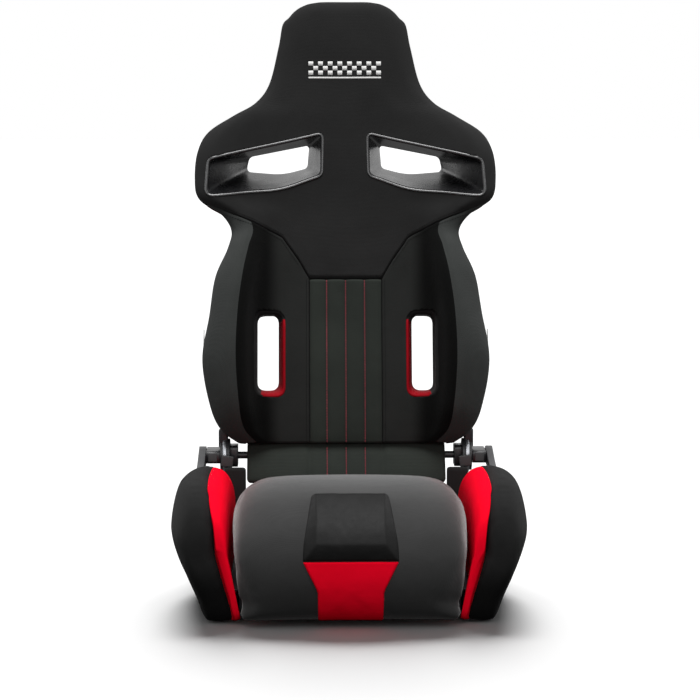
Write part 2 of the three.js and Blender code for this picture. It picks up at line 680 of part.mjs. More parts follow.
for (const [side, sign] of sides) {
  const railX = (railInner + rail.outer) / 2;
  add(base, `side_rail_${side}`, sideRail(), paintedSteel, sign);
  add(base, `mount_spacer_front_${side}`, mountSpacer(railX, spacer.frontY), bareSteel, sign);
  add(base, `mount_spacer_rear_${side}`, mountSpacer(railX, spacer.rearY), bareSteel, sign);
  add(base, `thigh_bolster_${side}`, thighBolster(), knit, sign);
  add(base, `bolster_inlay_${side}`, bolsterInlay(), redCloth, sign);
  add(base, `thigh_wing_${side}`, prism('y', wingSection, wing.front, wing.rear), paintedSteel, sign);
  add(base, `recliner_bracket_${side}`, reclinerBracket(), bareSteel, sign);
  add(base, `recliner_bush_${side}`, reclinerBush(), greyPlastic, sign);
  add(base, `recliner_core_${side}`, reclinerCore(), bareSteel, sign);
  add(release, `release_lever_${side}`, releaseLever(), blackPlastic, sign);

  add(back, `back_bolster_${side}`, backBolster(), crestCloth, sign);
  add(back, `strap_bezel_front_${side}`, strapBezel(true), blackPlastic, sign);
  add(back, `strap_bezel_rear_${side}`, strapBezel(false), blackPlastic, sign);
  add(back, `slot_liner_${side}`, slotLiner(), redCloth, sign);
  add(back, `back_upright_${side}`, upright(), paintedSteel, sign);
  add(back, `shoulder_wire_${side}`, shoulderWire(), paintedSteel, sign);
  add(back, `hinge_arm_${side}`, hingeArm(), bareSteel, sign);
  add(hub, `hinge_cover_${side}`, hingeCover(), blackPlastic, sign);
  add(back, `arm_bolt_low_${side}`, armBolt(arm.boltAt), bareSteel, sign);
  add(back, `side_tag_${side}`, prism('x', [[-tag.far, tag.low], [-tag.near, tag.low],
    [-tag.near, tag.high], [-tag.far, tag.high]], hipHalf - gap.run, hipHalf - gap.run + tag.thick),
  whiteThread, sign);
}

// Origin: centre of the bounding box, at floor level.
seat.updateMatrixWorld(true);
const bounds = new THREE.Box3().setFromObject(seat, true);
const middle = bounds.getCenter(new THREE.Vector3());
seat.position.set(-middle.x, -middle.y, -bounds.min.z);

export default seat;
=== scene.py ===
import json
import math

import bmesh
import bpy
import numpy as np
from mathutils import Matrix, Vector, noise
from mathutils.bvhtree import BVHTree

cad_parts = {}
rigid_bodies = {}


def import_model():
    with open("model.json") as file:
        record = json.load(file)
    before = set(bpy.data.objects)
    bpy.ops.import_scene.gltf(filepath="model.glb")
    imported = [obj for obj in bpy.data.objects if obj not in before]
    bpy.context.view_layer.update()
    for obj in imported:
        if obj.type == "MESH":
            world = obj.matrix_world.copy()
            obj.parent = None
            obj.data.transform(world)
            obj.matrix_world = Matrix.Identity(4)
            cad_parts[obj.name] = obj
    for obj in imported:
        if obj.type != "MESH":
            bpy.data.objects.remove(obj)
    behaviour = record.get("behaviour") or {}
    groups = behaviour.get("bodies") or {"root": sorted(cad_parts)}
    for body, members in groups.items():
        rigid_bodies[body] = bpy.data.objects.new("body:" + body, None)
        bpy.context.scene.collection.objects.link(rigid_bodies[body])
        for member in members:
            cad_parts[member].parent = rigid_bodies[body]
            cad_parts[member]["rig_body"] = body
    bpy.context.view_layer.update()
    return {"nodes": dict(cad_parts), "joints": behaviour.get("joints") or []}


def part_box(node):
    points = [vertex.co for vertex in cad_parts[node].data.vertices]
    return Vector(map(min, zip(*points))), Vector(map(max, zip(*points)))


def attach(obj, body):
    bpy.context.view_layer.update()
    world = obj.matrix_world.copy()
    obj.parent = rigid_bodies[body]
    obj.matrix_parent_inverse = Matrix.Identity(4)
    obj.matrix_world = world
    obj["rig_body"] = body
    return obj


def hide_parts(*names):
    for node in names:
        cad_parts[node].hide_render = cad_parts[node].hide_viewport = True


# Reclining sports seat: covers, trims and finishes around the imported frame.
# Sizes are written in millimetres. Backrest sizes are (x, height up the back, distance towards the sitter).

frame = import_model()
nodes = frame["nodes"]
scene = bpy.context.scene
mm = 0.001
sides = (("left", 1), ("right", -1))
recline = next(joint for joint in frame["joints"] if joint["name"] == "recline")
pivot = np.array(recline["pos_m"]) / mm
lean = math.radians(14)
seatShift = pivot[1] - 105

# Camera and light.

studio = {"lens": 106.1, "sensor": 36, "eye": (-0.058, -3.328, 0.780), "pitch": 6.84, "yaw": 1.08}

brightness = {"overhead": 3.7, "backdrop": 5.2, "front": 29, "strip": 18, "fill": 0.16, "seen": 1.0,
              "floorSeen": 0.9, "floorLit": 0.12}

cameraData = bpy.data.cameras.new("camera")
cameraData.lens = studio["lens"]
cameraData.sensor_width = studio["sensor"]
camera = bpy.data.objects.new("camera", cameraData)
camera.location = studio["eye"]
camera.rotation_euler = (math.radians(90 - studio["pitch"]), 0, math.radians(-studio["yaw"]))
scene.collection.objects.link(camera)
scene.camera = camera
scene.view_settings.view_transform = "Standard"


# Links given as (from node, its output, to node, its input).
def wire(tree, *links):
    for giver, given, taker, taken in links:
        tree.links.new(giver.outputs[given], taker.inputs[taken])



def lamp(name, kind, place, target, power, **settings):
    data = bpy.data.lights.new(name, kind)
    data.energy = power
    for key, value in settings.items():
        setattr(data, key, value)
    light = bpy.data.objects.new(name, data)
    light.location = place
    light.rotation_euler = (Vector(target) - Vector(place)).to_track_quat("-Z", "Y").to_euler()
    scene.collection.objects.link(light)
    return light


overhead = lamp("overhead", "SUN", (0, -0.8, 4), (0, 0, 0), brightness["overhead"], angle=math.radians(36))
backdrop = lamp("backdrop", "SUN", (0, 3.7, 4), (0, 0, 0), brightness["backdrop"], angle=math.radians(40))
frontLamp = lamp("front", "AREA", (0.1, -3.4, 1.9), (0, 0, 0.3), brightness["front"],
                 shape="RECTANGLE", size=2.2, size_y=1.2)
strips = [lamp(f"strip_{side}", "AREA", (sign * 2.4, 0.9, 1.5), (0, 0.1, 0.6), brightness["strip"],
               shape="RECTANGLE", size=0.9, size_y=2.0) for side, sign in sides]

world = bpy.data.worlds.new("studio")
scene.world = world
world.use_nodes = True
sky = world.node_tree
skyFill = sky.nodes["Background"]
skyFill.inputs["Color"].default_value = (1, 1, 1, 1)
skyFill.inputs["Strength"].default_value = brightness["fill"]
skySeen = sky.nodes.new("ShaderNodeBackground")
skySeen.inputs["Strength"].default_value = brightness["seen"]
skySeen.inputs["Color"].default_value = (1, 1, 1, 1)
skyMix = sky.nodes.new("ShaderNodeMixShader")
skyPath = sky.nodes.new("ShaderNodeLightPath")
skyEither = sky.nodes.new("ShaderNodeMath")
skyEither.operation = "MAXIMUM"
wire(sky, (skyPath, "Is Camera Ray", skyEither, 0), (skyPath, "Is Glossy Ray", skyEither, 1),
     (skyEither, 0, skyMix, "Fac"), (skyFill, 0, skyMix, 1), (skySeen, 0, skyMix, 2),
     (skyMix, 0, sky.nodes["World Output"], "Surface"))

# Finishes.


# A screen level from 0 to 255 as a linear value.
def linear(level):
    share = level / 255
    return share / 12.92 if share < 0.04045 else ((share + 0.055) / 1.055) ** 2.4


def tone(red, green, blue):
    return (linear(red), linear(green), linear(blue), 1)


def grey(level):
    return tone(level, level, level)


# A material, with short calls for the nodes that the finishes share.
class Finish:
    def __init__(self, name, roughness, **settings):
        self.material = bpy.data.materials.new(name)
        self.material.use_nodes = True
        self.tree = self.material.node_tree
        self.surface = self.tree.nodes["Principled BSDF"]
        self.surface.inputs["Roughness"].default_value = roughness
        for key, value in settings.items():
            self.surface.inputs[key.replace("_", " ")].default_value = value
        self.place = self.add("TexCoord").outputs["Object"]

    def add(self, kind, inputs=None, **settings):
        made = self.tree.nodes.new("ShaderNode" + kind)
        for key, value in settings.items():
            setattr(made, key, value)
        for key, value in (inputs or {}).items():
            if isinstance(value, bpy.types.NodeSocket):
                self.tree.links.new(value, made.inputs[key])
            else:
                made.inputs[key].default_value = value
        return made

    def math(self, operation, a, b=0.0):
        return self.add("Math", {0: a, 1: b}, operation=operation).outputs[0]

    def noise(self, scale, detail=3.0, roughness=0.55, stretch=None):
        place = self.place
        if stretch:
            place = self.add("Mapping", {"Vector": place, "Scale": stretch}).outputs[0]
        return self.add("TexNoise", {"Vector": place, "Scale": scale, "Detail": detail,
                                     "Roughness": roughness}).outputs["Fac"]

    # A fine woven lattice that looks the same on faces turned any way.
    def knit(self, pitch):
        scaled = self.add("VectorMath", {0: self.place, 3: 2 * math.pi / (pitch * mm)}, operation="SCALE")
        split = self.add("SeparateXYZ", {0: scaled.outputs[0]}).outputs
        waves = [(self.math("SINE", split[i]), self.math("COSINE", split[(i + 1) % 3])) for i in range(3)]
        products = [self.math("MULTIPLY", a, b) for a, b in waves]
        return self.math("ADD", self.math("ADD", products[0], products[1]), products[2])

    def colour(self, share, dark, light):
        mix = self.add("Mix", {"Factor": share, "A": dark, "B": light}, data_type="RGBA")
        wanted = [s for s in mix.inputs if s.type == "RGBA"]
        wanted[0].default_value = dark
        wanted[1].default_value = light
        result = next(s for s in mix.outputs if s.type == "RGBA")
        self.tree.links.new(result, self.surface.inputs["Base Color"])
        return result

    # Painted shade: darkens the colour to a share of itself towards the first of two places along an axis.
    def fade(self, colour, axis, places, share):
        along = self.add("SeparateXYZ", {0: self.place}).outputs[axis]
        if axis == 0:
            along = self.math("ABSOLUTE", along)
        ease = self.add("MapRange", {"Value": along, "From Min": places[0] * mm, "From Max": places[1] * mm,
                                     "To Min": share, "To Max": 1.0}, interpolation_type="SMOOTHSTEP")
        coloured = self.add("VectorMath", {0: colour, 3: ease.outputs[0]}, operation="SCALE")
        self.tree.links.new(coloured.outputs[0], self.surface.inputs["Base Color"])

    def spread(self, source, low, high):
        return self.add("MapRange", {"Value": source, "To Min": low, "To Max": high}).outputs[0]

    def rough(self, source, low, high):
        self.tree.links.new(self.spread(source, low, high), self.surface.inputs["Roughness"])

    # Layers of (height, depth in millimetres), the finest first.
    def bump(self, layers):
        last = None
        for height, depth in layers:
            inputs = {"Height": height, "Strength": 0.6, "Distance": depth * mm}
            if last:
                inputs["Normal"] = last
            last = self.add("Bump", inputs).outputs[0]
        self.tree.links.new(last, self.surface.inputs["Normal"])


# Cloth, optionally with painted shade that darkens it towards one end of an axis.
def cloth(name, dark, light, pitch, depth, roughness=0.92, sheen=0.03, gloss=0.06, fade=None):
    finish = Finish(name, roughness)
    finish.surface.inputs["Sheen Weight"].default_value = sheen
    finish.surface.inputs["Sheen Roughness"].default_value = 0.45
    finish.surface.inputs["Specular IOR Level"].default_value = gloss
    weave = finish.knit(pitch)
    broad = finish.noise(9, 4)
    fibre = finish.noise(1400, 2)
    blend = finish.math("ADD", finish.math("MULTIPLY", weave, 0.06), broad)
    blend = finish.math("ADD", blend, finish.math("MULTIPLY", fibre, 0.35))
    coloured = finish.colour(finish.spread(blend, -0.25, 1.1), dark, light)
    if fade:
        finish.fade(coloured, *fade)
    finish.rough(broad, roughness - 0.08, roughness + 0.06)
    finish.bump([(fibre, depth * 0.7), (weave, depth * 0.5), (finish.noise(60, 3), 0.5)])
    return finish.material


def hide(name, dark, light):
    finish = Finish(name, 0.5)
    finish.surface.inputs["Specular IOR Level"].default_value = 0.09
    cells = finish.add("TexVoronoi", {"Vector": finish.place, "Scale": 620.0},
                       feature="DISTANCE_TO_EDGE").outputs["Distance"]
    creases = finish.noise(150, 5, 0.65)
    finish.colour(finish.spread(finish.noise(24, 4), 0, 1), dark, light)
    finish.rough(creases, 0.42, 0.62)
    finish.bump([(cells, 0.35), (creases, 0.35), (finish.noise(30, 3), 0.6)])
    return finish.material


def plastic(name, dark, light, roughness=0.4, grain=0.12, gloss=0.5):
    finish = Finish(name, roughness)
    finish.surface.inputs["Specular IOR Level"].default_value = gloss
    finish.colour(finish.spread(finish.noise(14, 4), 0, 1), dark, light)
    speckle = finish.noise(1100, 2, 0.5)
    finish.rough(finish.noise(40, 5), roughness - 0.07, roughness + 0.1)
    finish.bump([(speckle, grain), (finish.noise(50, 2), 0.15)])
    return finish.material


def steel(name, dark, light, roughness, metal=1.0, stretch=(1, 1, 1)):
    finish = Finish(name, roughness, Metallic=metal)
    finish.colour(finish.spread(finish.noise(60, 5), 0, 1), dark, light)
    marks = finish.noise(500, 4, 0.6, stretch)
    finish.rough(marks, roughness - 0.1, roughness + 0.15)
    finish.bump([(marks, 0.06)])
    return finish.material


knitBlack = cloth("knitBlack", grey(32), grey(44), 1.7, 0.25)
# Painted shade: the thigh bolster cloth darkens towards its bottom.
thighKnit = cloth("thighKnit", grey(26), grey(38), 1.7, 0.25, fade=(2, (45, 108), 0.2))
# Painted shade: the bolster cloth darkens on its inner faces, outwards towards the crest.
sideKnit = cloth("sideKnit", tone(30, 31, 30), tone(42, 43, 42), 1.7, 0.25, fade=(0, (137, 106), 0.16))
crestCloth = cloth("crestCloth", tone(46, 48, 47), tone(62, 64, 63), 2.6, 0.3)
fluteCloth = cloth("fluteCloth", tone(36, 39, 37), tone(49, 53, 49), 2.0, 0.3)
# Painted shade: the cushion cloth darkens towards its bottom.
seatCloth = cloth("seatCloth", grey(42), grey(57), 1.6, 0.2, 0.9, 0.5,
                  fade=(2, (10, 120), 0.45))
redCloth = cloth("redCloth", tone(232, 0, 28), tone(248, 2, 38), 1.6, 0.2, 0.8, 0.0, 0.04)
padHide = hide("padHide", grey(20), grey(30))
backHide = hide("backHide", tone(28, 28, 29), tone(40, 40, 42))
blackPlastic = plastic("blackPlastic", tone(24, 24, 26), tone(34, 34, 37), 0.34)
bezelPlastic = plastic("bezelPlastic", tone(14, 14, 15), tone(22, 22, 24), 0.26, 0.06, 0.7)
greyPlastic = plastic("greyPlastic", tone(58, 59, 60), tone(76, 77, 78), 0.5, 0.12, 0.3)
lidPlastic = plastic("lidPlastic", tone(64, 65, 66), tone(84, 85, 86), 0.5, 0.12, 0.3)
paintedSteel = steel("paintedSteel", tone(26, 26, 28), tone(38, 39, 42), 0.45, 0.0)
bareSteel = steel("bareSteel", tone(140, 142, 146), tone(176, 178, 182), 0.36, 1.0, (1, 1, 0.1))
springSteel = steel("springSteel", tone(92, 94, 96), tone(120, 122, 126), 0.4)
redTrim = cloth("redTrim", tone(112, 4, 14), tone(156, 12, 26), 1.2, 0.15, 0.7, 0.0)
whiteThread = cloth("whiteThread", tone(222, 222, 220), tone(246, 246, 244), 0.9, 0.2, 0.75, 0.3)
redThread = cloth("redThread", tone(112, 42, 50), tone(150, 72, 80), 0.8, 0.1, 0.7, 0.0)
blackThread = cloth("blackThread", grey(10), grey(20), 0.8, 0.1, 0.7, 0.0)
redPiping = cloth("redPiping", tone(84, 4, 12), tone(122, 12, 22), 1.0, 0.1, 0.7, 0.0)

# Mesh helpers.


# A mesh piece from points in millimetres in the seat's own frame.
def piece(name, points, faces, material, body, smooth=True):
    mesh = bpy.data.meshes.new(name)
    mesh.from_pydata((np.asarray(points) * mm).tolist(), [], faces)
    mesh.update()
    made = bpy.data.objects.new(name, mesh)
    scene.collection.objects.link(made)
    mesh.materials.append(material)
    outward(made, smooth)
    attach(made, body)
    return made


def shadeSmooth(mesh, smooth=True):
    mesh.polygons.foreach_set("use_smooth", [smooth] * len(mesh.polygons))


def outward(made, smooth=True):
    work = bmesh.new()
    work.from_mesh(made.data)
    bmesh.ops.recalc_face_normals(work, faces=work.faces)
    work.to_mesh(made.data)
    work.free()
    shadeSmooth(made.data, smooth)
    made.data.update()


# Backrest points (x, height, towards the sitter) in the seat's own frame.
def onBack(points):
    x, v, w = np.moveaxis(np.asarray(points, float), -1, 0)
    sine, cosine = math.sin(lean), math.cos(lean)
    return np.stack([x, pivot[1] + v * sine - w * cosine, pivot[2] + v * cosine + w * sine], -1)


# How far up the back a point of the seat lies, in millimetres.
def upBack(point):
    return (point.y / mm - pivot[1]) * math.sin(lean) + (point.z / mm - pivot[2]) * math.cos(lean)


# Front sheet, back sheet and edges of a closed slab, both sheets rows x cols points.
def slabFaces(rows, cols):
    faces = []
    back = rows * cols
    for i in range(rows - 1):
        for j in range(cols - 1):
            a = i * cols + j
            faces.append((a, a + 1, a + cols + 1, a + cols))
            faces.append((back + a, back + a + cols, back + a + cols + 1, back + a + 1))
    rim = [j for j in range(cols)]
    rim += [i * cols + cols - 1 for i in range(1, rows)]
    rim += [(rows - 1) * cols + j for j in range(cols - 2, -1, -1)]
    rim += [i * cols for i in range(rows - 2, 0, -1)]
    for k, a in enumerate(rim):
        b = rim[(k + 1) % len(rim)]
        faces.append((a, back + a, back + b, b))
    return faces


# Faces between rings of points, closed into a loop or capped at both ends.
def ringFaces(rings, count, closed):
    faces = []
    for k in range(rings if closed else rings - 1):
        start, after = k * count, ((k + 1) % rings) * count
        for i in range(count):
            j = (i + 1) % count
            faces.append((start + i, start + j, after + j, after + i))
    if not closed:
        faces.append(tuple(range(count - 1, -1, -1)))
        faces.append(tuple((rings - 1) * count + i for i in range(count)))
    return faces


def applyModifiers(made):
    bpy.context.view_layer.update()
    graph = bpy.context.evaluated_depsgraph_get()
    fresh = bpy.data.meshes.new_from_object(made.evaluated_get(graph))
    made.modifiers.clear()
    old = made.data
    made.data = fresh
    bpy.data.meshes.remove(old)


# Takes the cutter's closed form out of a closed piece.
def cut(made, cutter):
    tool = made.modifiers.new("cut", "BOOLEAN")
    tool.operation = "DIFFERENCE"
    tool.solver = "MANIFOLD"
    tool.object = cutter
    applyModifiers(made)


def scratch(name, points, faces):
    mesh = bpy.data.meshes.new(name)
    mesh.from_pydata((np.asarray(points) * mm).tolist(), [], faces)
    made = bpy.data.objects.new(name, mesh)
    scene.collection.objects.link(made)
    outward(made)
    return made


# Neighbour numbers and smooth weights for places between evenly numbered knots.
def gridWeights(at, count):
    low = np.clip(np.floor(at).astype(int), 0, count - 2)
    f = (at - low)[:, None]
    weights = np.concatenate([
        -0.5 * f + f**2 - 0.5 * f**3, 1 - 2.5 * f**2 + 1.5 * f**3,
        0.5 * f + 2 * f**2 - 1.5 * f**3, -0.5 * f**2 + 0.5 * f**3], 1)
    return low, weights


# A smooth surface through rows of points, one point for each column.
class Net:
    def __init__(self, rows):
        self.rows, self.cols = rows.shape[0], rows.shape[1]
        tall = np.concatenate([2 * rows[:1] - rows[1:2], rows, 2 * rows[-1:] - rows[-2:-1]], 0)
        self.knots = np.concatenate([2 * tall[:, :1] - tall[:, 1:2], tall,
                                     2 * tall[:, -1:] - tall[:, -2:-1]], 1)

    def at(self, row, col):
        row, col = np.broadcast_arrays(np.asarray(row, float), np.asarray(col, float))
        shape = row.shape
        r, rw = gridWeights(row.ravel(), self.rows)
        c, cw = gridWeights(col.ravel(), self.cols)
        found = np.zeros((r.size, 3))
        for i in range(4):
            for j in range(4):
                found += (rw[:, i] * cw[:, j])[:, None] * self.knots[r + i, c + j]
        return found.reshape(*shape, 3)


def surfaceNormals(points):
    across = np.gradient(points, axis=1)
    along = np.gradient(points, axis=0)
    normals = np.cross(across, along)
    return normals / np.maximum(np.linalg.norm(normals, axis=-1, keepdims=True), 1e-9)


# Distance along the surface from a grid's left, right, first and last edges.
def edgeDistances(points):
    across = np.linalg.norm(np.diff(points, axis=1), axis=-1)
    along = np.linalg.norm(np.diff(points, axis=0), axis=-1)
    left = np.pad(np.cumsum(across, 1), ((0, 0), (1, 0)))
    first = np.pad(np.cumsum(along, 0), ((1, 0), (0, 0)))
    return left, left[:, -1:] - left, first, first[-1:] - first


# How far a padded face falls as it nears its seam.
def seamFall(distance, radius):
    short = radius - np.clip(distance, 0, radius)
    return radius - np.sqrt(np.maximum(radius**2 - short**2, 0))


def ripple(points, size, seed=0.0):
    flat = points.reshape(-1, 3) / size
    values = [noise.noise(Vector((p[0] + seed, p[1], p[2]))) for p in flat]
    return np.array(values).reshape(points.shape[:-1])


# Depth under the crown of padded channels sewn down along lines.
def flutes(x, lines, depth, width=4.5):
    near = np.min(np.abs(x[..., None] - np.array(lines)), -1)
    return depth * np.exp(-((near / width) ** 1.5))

# Backrest: the surface that every cover is cut from.

# Height up the back, then (x, towards the sitter) from the middle out to the rear edge.
backRows = [
    (17, (0, 25), (61, 25), (100, 26), (125, 28), (140, 32), (150, 34), (162, 34), (176, 24), (168, 8)),
    (40, (0, 29), (61, 29), (105, 30), (138, 40), (158, 58), (172, 64), (190, 60), (208, 42), (198, 8)),
    (80, (0, 32), (61, 32), (107, 34), (145, 52), (166, 82), (180, 90), (200, 84), (226, 52), (216, 8)),
    (155, (0, 33), (61, 33), (107, 36), (148, 58), (170, 96), (185, 106), (207, 98), (238, 60), (227, 8)),
    (230, (0, 29), (61, 30), (107, 34), (148, 56), (168, 96), (182, 106), (202, 98), (227, 60), (216, 8)),
    (296, (0, 27), (61, 28), (104, 32), (140, 50), (160, 84), (174, 95), (192, 88), (217, 58), (206, 8)),
    (345, (0, 28), (61, 29), (100, 32), (130, 42), (150, 62), (165, 72), (181, 70), (197, 48), (187, 8)),
    (377, (0, 29), (61, 30), (98, 32), (125, 38), (143, 48), (158, 54), (174, 54), (191, 42), (181, 8)),
    (405, (0, 30), (61, 31), (98, 33), (125, 38), (150, 46), (170, 52), (188, 54), (209, 46), (200, 8)),
    (430, (0, 31), (61, 32), (100, 34), (130, 38), (165, 46), (195, 56), (225, 62), (246, 48), (237, 8)),
    (465, (0, 32), (61, 33), (100, 36), (130, 41), (165, 50), (197, 60), (228, 64), (253, 48), (243, 8)),
    (510, (0, 33), (61, 34), (100, 37), (130, 42), (165, 51), (197, 60), (226, 63), (249, 46), (239, 8)),
    (545, (0, 33), (61, 34), (95, 37), (125, 42), (155, 48), (184, 55), (209, 56), (231, 40), (221, 8)),
    (575, (0, 34), (55, 35), (85, 37), (110, 40), (135, 43), (158, 45), (175, 43), (190, 30), (181, 8)),
    (600, (0, 34), (50, 35), (75, 36), (95, 36), (113, 36), (128, 35), (141, 32), (152, 22), (144, 8)),
    (635, (0, 34), (45, 35), (65, 35), (82, 35), (96, 34), (108, 32), (119, 27), (128, 18), (121, 8)),
    (700, (0, 35), (42, 35), (60, 35), (74, 34), (85, 33), (95, 30), (104, 25), (112, 16), (106, 7)),
    (740, (0, 34), (40, 34), (56, 33), (70, 32), (81, 30), (90, 27), (98, 22), (105, 13), (100, 7)),
]
# The rounded top of the head, where the columns no longer share one height.
headRows = [
    [(0, 764, 31), (38, 764, 31), (54, 763, 30), (66, 762, 28), (76, 760, 26), (84, 758, 23), (90, 755, 18),
     (95, 752, 12), (91, 751, 7)],
    [(0, 777, 22), (37, 777, 22), (52, 776, 21), (63, 774, 20), (71, 771, 19), (78, 768, 17), (83, 765, 14),
     (87, 762, 11), (84, 761, 7)],
    [(0, 782, 8), (36, 782, 8), (50, 780, 8), (61, 778, 8), (69, 775, 8), (75, 772, 8), (79, 769, 8),
     (82, 767, 8), (80, 766, 7)],
]
half = np.array([[(x, row[0], w) for x, w in row[1:]] for row in backRows] + headRows, float)
whole = np.concatenate([half[:, :0:-1] * (-1, 1, 1), half], 1)
backNet = Net(whole)
middle = 8
topRow = len(whole) - 1
yokeLine = [(0, 296), (61, 296), (79, 327), (106, 366), (115, 371), (155, 390), (191, 403), (260, 431)]


def backSurface(row, col):
    return backNet.at(row, np.asarray(col) + middle)


# The row where each column reaches a height, given as a function of x.
def rowAt(col, height):
    low, high = np.zeros_like(col), np.full_like(col, topRow)
    for _ in range(40):
        mid = (low + high) / 2
        found = backSurface(mid, col)
        above = found[..., 1] > height(np.abs(found[..., 0]))
        high = np.where(above, mid, high)
        low = np.where(above, low, mid)
    return (low + high) / 2


def yokeHeight(x):
    return np.interp(x, *np.array(yokeLine, float).T)


# Count values spaced evenly along positions, with a share of crowding at both ends.
def evenly(values, positions, count, crowd):
    share = np.linspace(0, 1, count)
    share = (1 - crowd) * share + crowd * (0.5 - 0.5 * np.cos(np.pi * share))
    return np.interp(share * positions[-1], positions, values)


backSheets = []


# A padded cover cut from the backrest surface, between two columns and two row lines.
def backPanel(name, cols, rows, cells, shape, material, outer=None, thick=8.0):
    fine = np.linspace(cols[0], cols[1], 200)
    halfway = (rows[0](fine) + rows[1](fine)) / 2
    arc = np.linalg.norm(np.diff(backSurface(halfway, fine), axis=0), axis=-1)
    across = evenly(fine, np.concatenate([[0], np.cumsum(arc)]), cells[0], 0.25)
    low, high = rows[0](across), rows[1](across)
    share = np.linspace(0, 1, cells[1])
    share = 0.7 * share + 0.3 * (0.5 - 0.5 * np.cos(np.pi * share))
    grid = low[None] + (high - low)[None] * share[:, None]
    points = backSurface(grid, np.broadcast_to(across, grid.shape))
    normals = surfaceNormals(points)
    front = points + normals * shape(points, edgeDistances(points), np.abs(across))[..., None]
    rear = points - normals * thick
    sheet = front.reshape(-1, 3)
    faces = slabFaces(*grid.shape)
    solid = np.concatenate([sheet, rear.reshape(-1, 3)])
    made = piece(name, onBack(solid), faces, material, "backrest")
    count = (grid.shape[0] - 1) * (grid.shape[1] - 1)
    if outer:
        made.data.materials.append(outer[0])
        past = (np.abs(across[:-1] + across[1:]) / 2 > outer[1]).astype(int)
        marks = np.zeros(len(faces), int)
        marks[:2 * count] = np.repeat(np.tile(past, grid.shape[0] - 1), 2)
        made.data.polygons.foreach_set("material_index", marks)
    backSheets.append((sheet, [f for f in faces[:2 * count] if max(f) < len(sheet)]))
    return made


# Backrest: yoke, bolsters, fluted panel and tongue.

yoke = {"seam": 3.2, "crown": 1.6, "columns": 190, "rows": 150}


def yokeShape(points, edges, cols):
    first = edges[2]
    fall = seamFall(first, yoke["seam"])
    rise = yoke["crown"] * np.clip(first / 40, 0, 1) ** 0.5
    tug = np.exp(-first / 14) * ripple(points, 11, 3.0) * 0.8
    return rise - fall + tug + 0.7 * ripple(points, 70, 5.0)


yokeCover = backPanel(
    "yokeCover", (-8, 8), (lambda col: rowAt(col, yokeHeight) + 0.012, lambda col: np.full_like(col, topRow)),
    (yoke["columns"], yoke["rows"]), yokeShape, knitBlack)

wing = {"seam": 3.2, "crown": 1.4, "columns": 96, "rows": 120, "crestFrom": 4.95, "crestSeam": 2.0}


def wingShape(points, edges, cols):
    left, right, first, last = edges
    if points[0, -1, 0] < 0:
        left, right = right, left
    order = np.argsort(cols)
    crest = np.array([np.interp(wing["crestFrom"], cols[order], row[order]) for row in left])[:, None]
    sewn = wing["crestSeam"] * np.exp(-((np.abs(left - crest) / 2.6) ** 1.5))
    fall = np.maximum(seamFall(last, wing["seam"]), seamFall(left, wing["seam"]))
    fall = np.maximum(fall, seamFall(first, 5))
    rise = wing["crown"] * np.clip(np.minimum(left, last) / 30, 0, 1) ** 0.5
    tug = np.exp(-np.minimum(last, left) / 12) * ripple(points, 10, 9.0) * 0.8
    return rise - fall - sewn + tug + 0.8 * ripple(points, 60, 2.0)


wingCovers = {}
for side, sign in sides:
    cols = (1.0, 8.0) if sign > 0 else (-8.0, -1.0)
    wingCovers[side] = backPanel(
        f"bolsterCover_{side}", cols,
        (lambda col: np.zeros_like(col), lambda col: rowAt(col, yokeHeight) - 0.012),
        (wing["columns"], wing["rows"]), wingShape, sideKnit, (crestCloth, wing["crestFrom"]))

fluted = {"lines": (-61, -32, 0, 32, 61), "depth": 3.6, "rise": 2.6, "columns": 110, "rows": 90}


def flutedShape(points, edges, cols):
    first, last = edges[2:]
    sewn = flutes(points[..., 0], fluted["lines"], fluted["depth"])
    fall = np.maximum(seamFall(last, 3), seamFall(first, 5))
    return fluted["rise"] - sewn - fall + 0.35 * ripple(points, 16, 1.0)


flutedPanel = backPanel(
    "flutedPanel", (-0.985, 0.985),
    (lambda col: np.zeros_like(col), lambda col: rowAt(col, lambda x: 0 * x + 295.2)),
    (fluted["columns"], fluted["rows"]), flutedShape, fluteCloth)

tongue = {"half": 166, "thick": 7, "crown": 1.5, "channel": 3.2, "edge": 7, "rows": 44, "columns": 150,
          "crowd": 0.35, "profile": [(30, 2), (26, 9), (15, 17.5), (4, 22), (-8, 26.5), (-28, 33), (-44, 36),
                                     (-48, 31), (-46, 23)]}
tongueLine = Net(np.repeat(np.array([[(0, v, w)] for v, w in tongue["profile"]], float), 2, 1))
rowPlaces = np.linspace(0, len(tongue["profile"]) - 1, tongue["rows"])
even = np.linspace(-1, 1, tongue["columns"])
spread = np.sin(even * math.pi / 2) * tongue["crowd"] + even * (1 - tongue["crowd"])
tongueGrid = tongueLine.at(*np.meshgrid(rowPlaces, [0.0], indexing="ij"))
tongueGrid = np.repeat(tongueGrid, len(spread), 1)
tongueGrid[..., 0] = tongue["half"] * spread
tongueNormals = surfaceNormals(tongueGrid[::-1])[::-1]
left, right, first, last = edgeDistances(tongueGrid)
ends = seamFall(np.minimum(left, right), tongue["edge"])
sewn = flutes(tongueGrid[..., 0], fluted["lines"], tongue["channel"]) - tongue["crown"]
sheet = tongueGrid - tongueNormals * (sewn + ends - 0.5 * ripple(tongueGrid, 22, 4.0))[..., None]
under = tongueGrid - tongueNormals * tongue["thick"]
tongueFaces = slabFaces(*tongueGrid.shape[:2])
tongueCover = piece("tongueCover", onBack(np.concatenate([sheet.reshape(-1, 3), under.reshape(-1, 3)])),
                    tongueFaces, fluteCloth, "backrest")
backSheets.append((sheet.reshape(-1, 3), [f for f in tongueFaces if max(f) < sheet.size // 3]))
print("backrest covers made")

# Backrest: rear cover.

rearCase = {"inset": 3.0, "front": 4.5, "depth": 42, "corner": 11, "voxel": 5.5, "relax": 5,
            "seam": 452, "seamWidth": 3.0, "seamDepth": 2.2}
bendLine = np.array([(0, -42), (60, -42), (150, -40), (205, -30), (241, -6), (265, 4)], float)


def rearBend(x):
    return np.interp(np.abs(x), *bendLine.T)


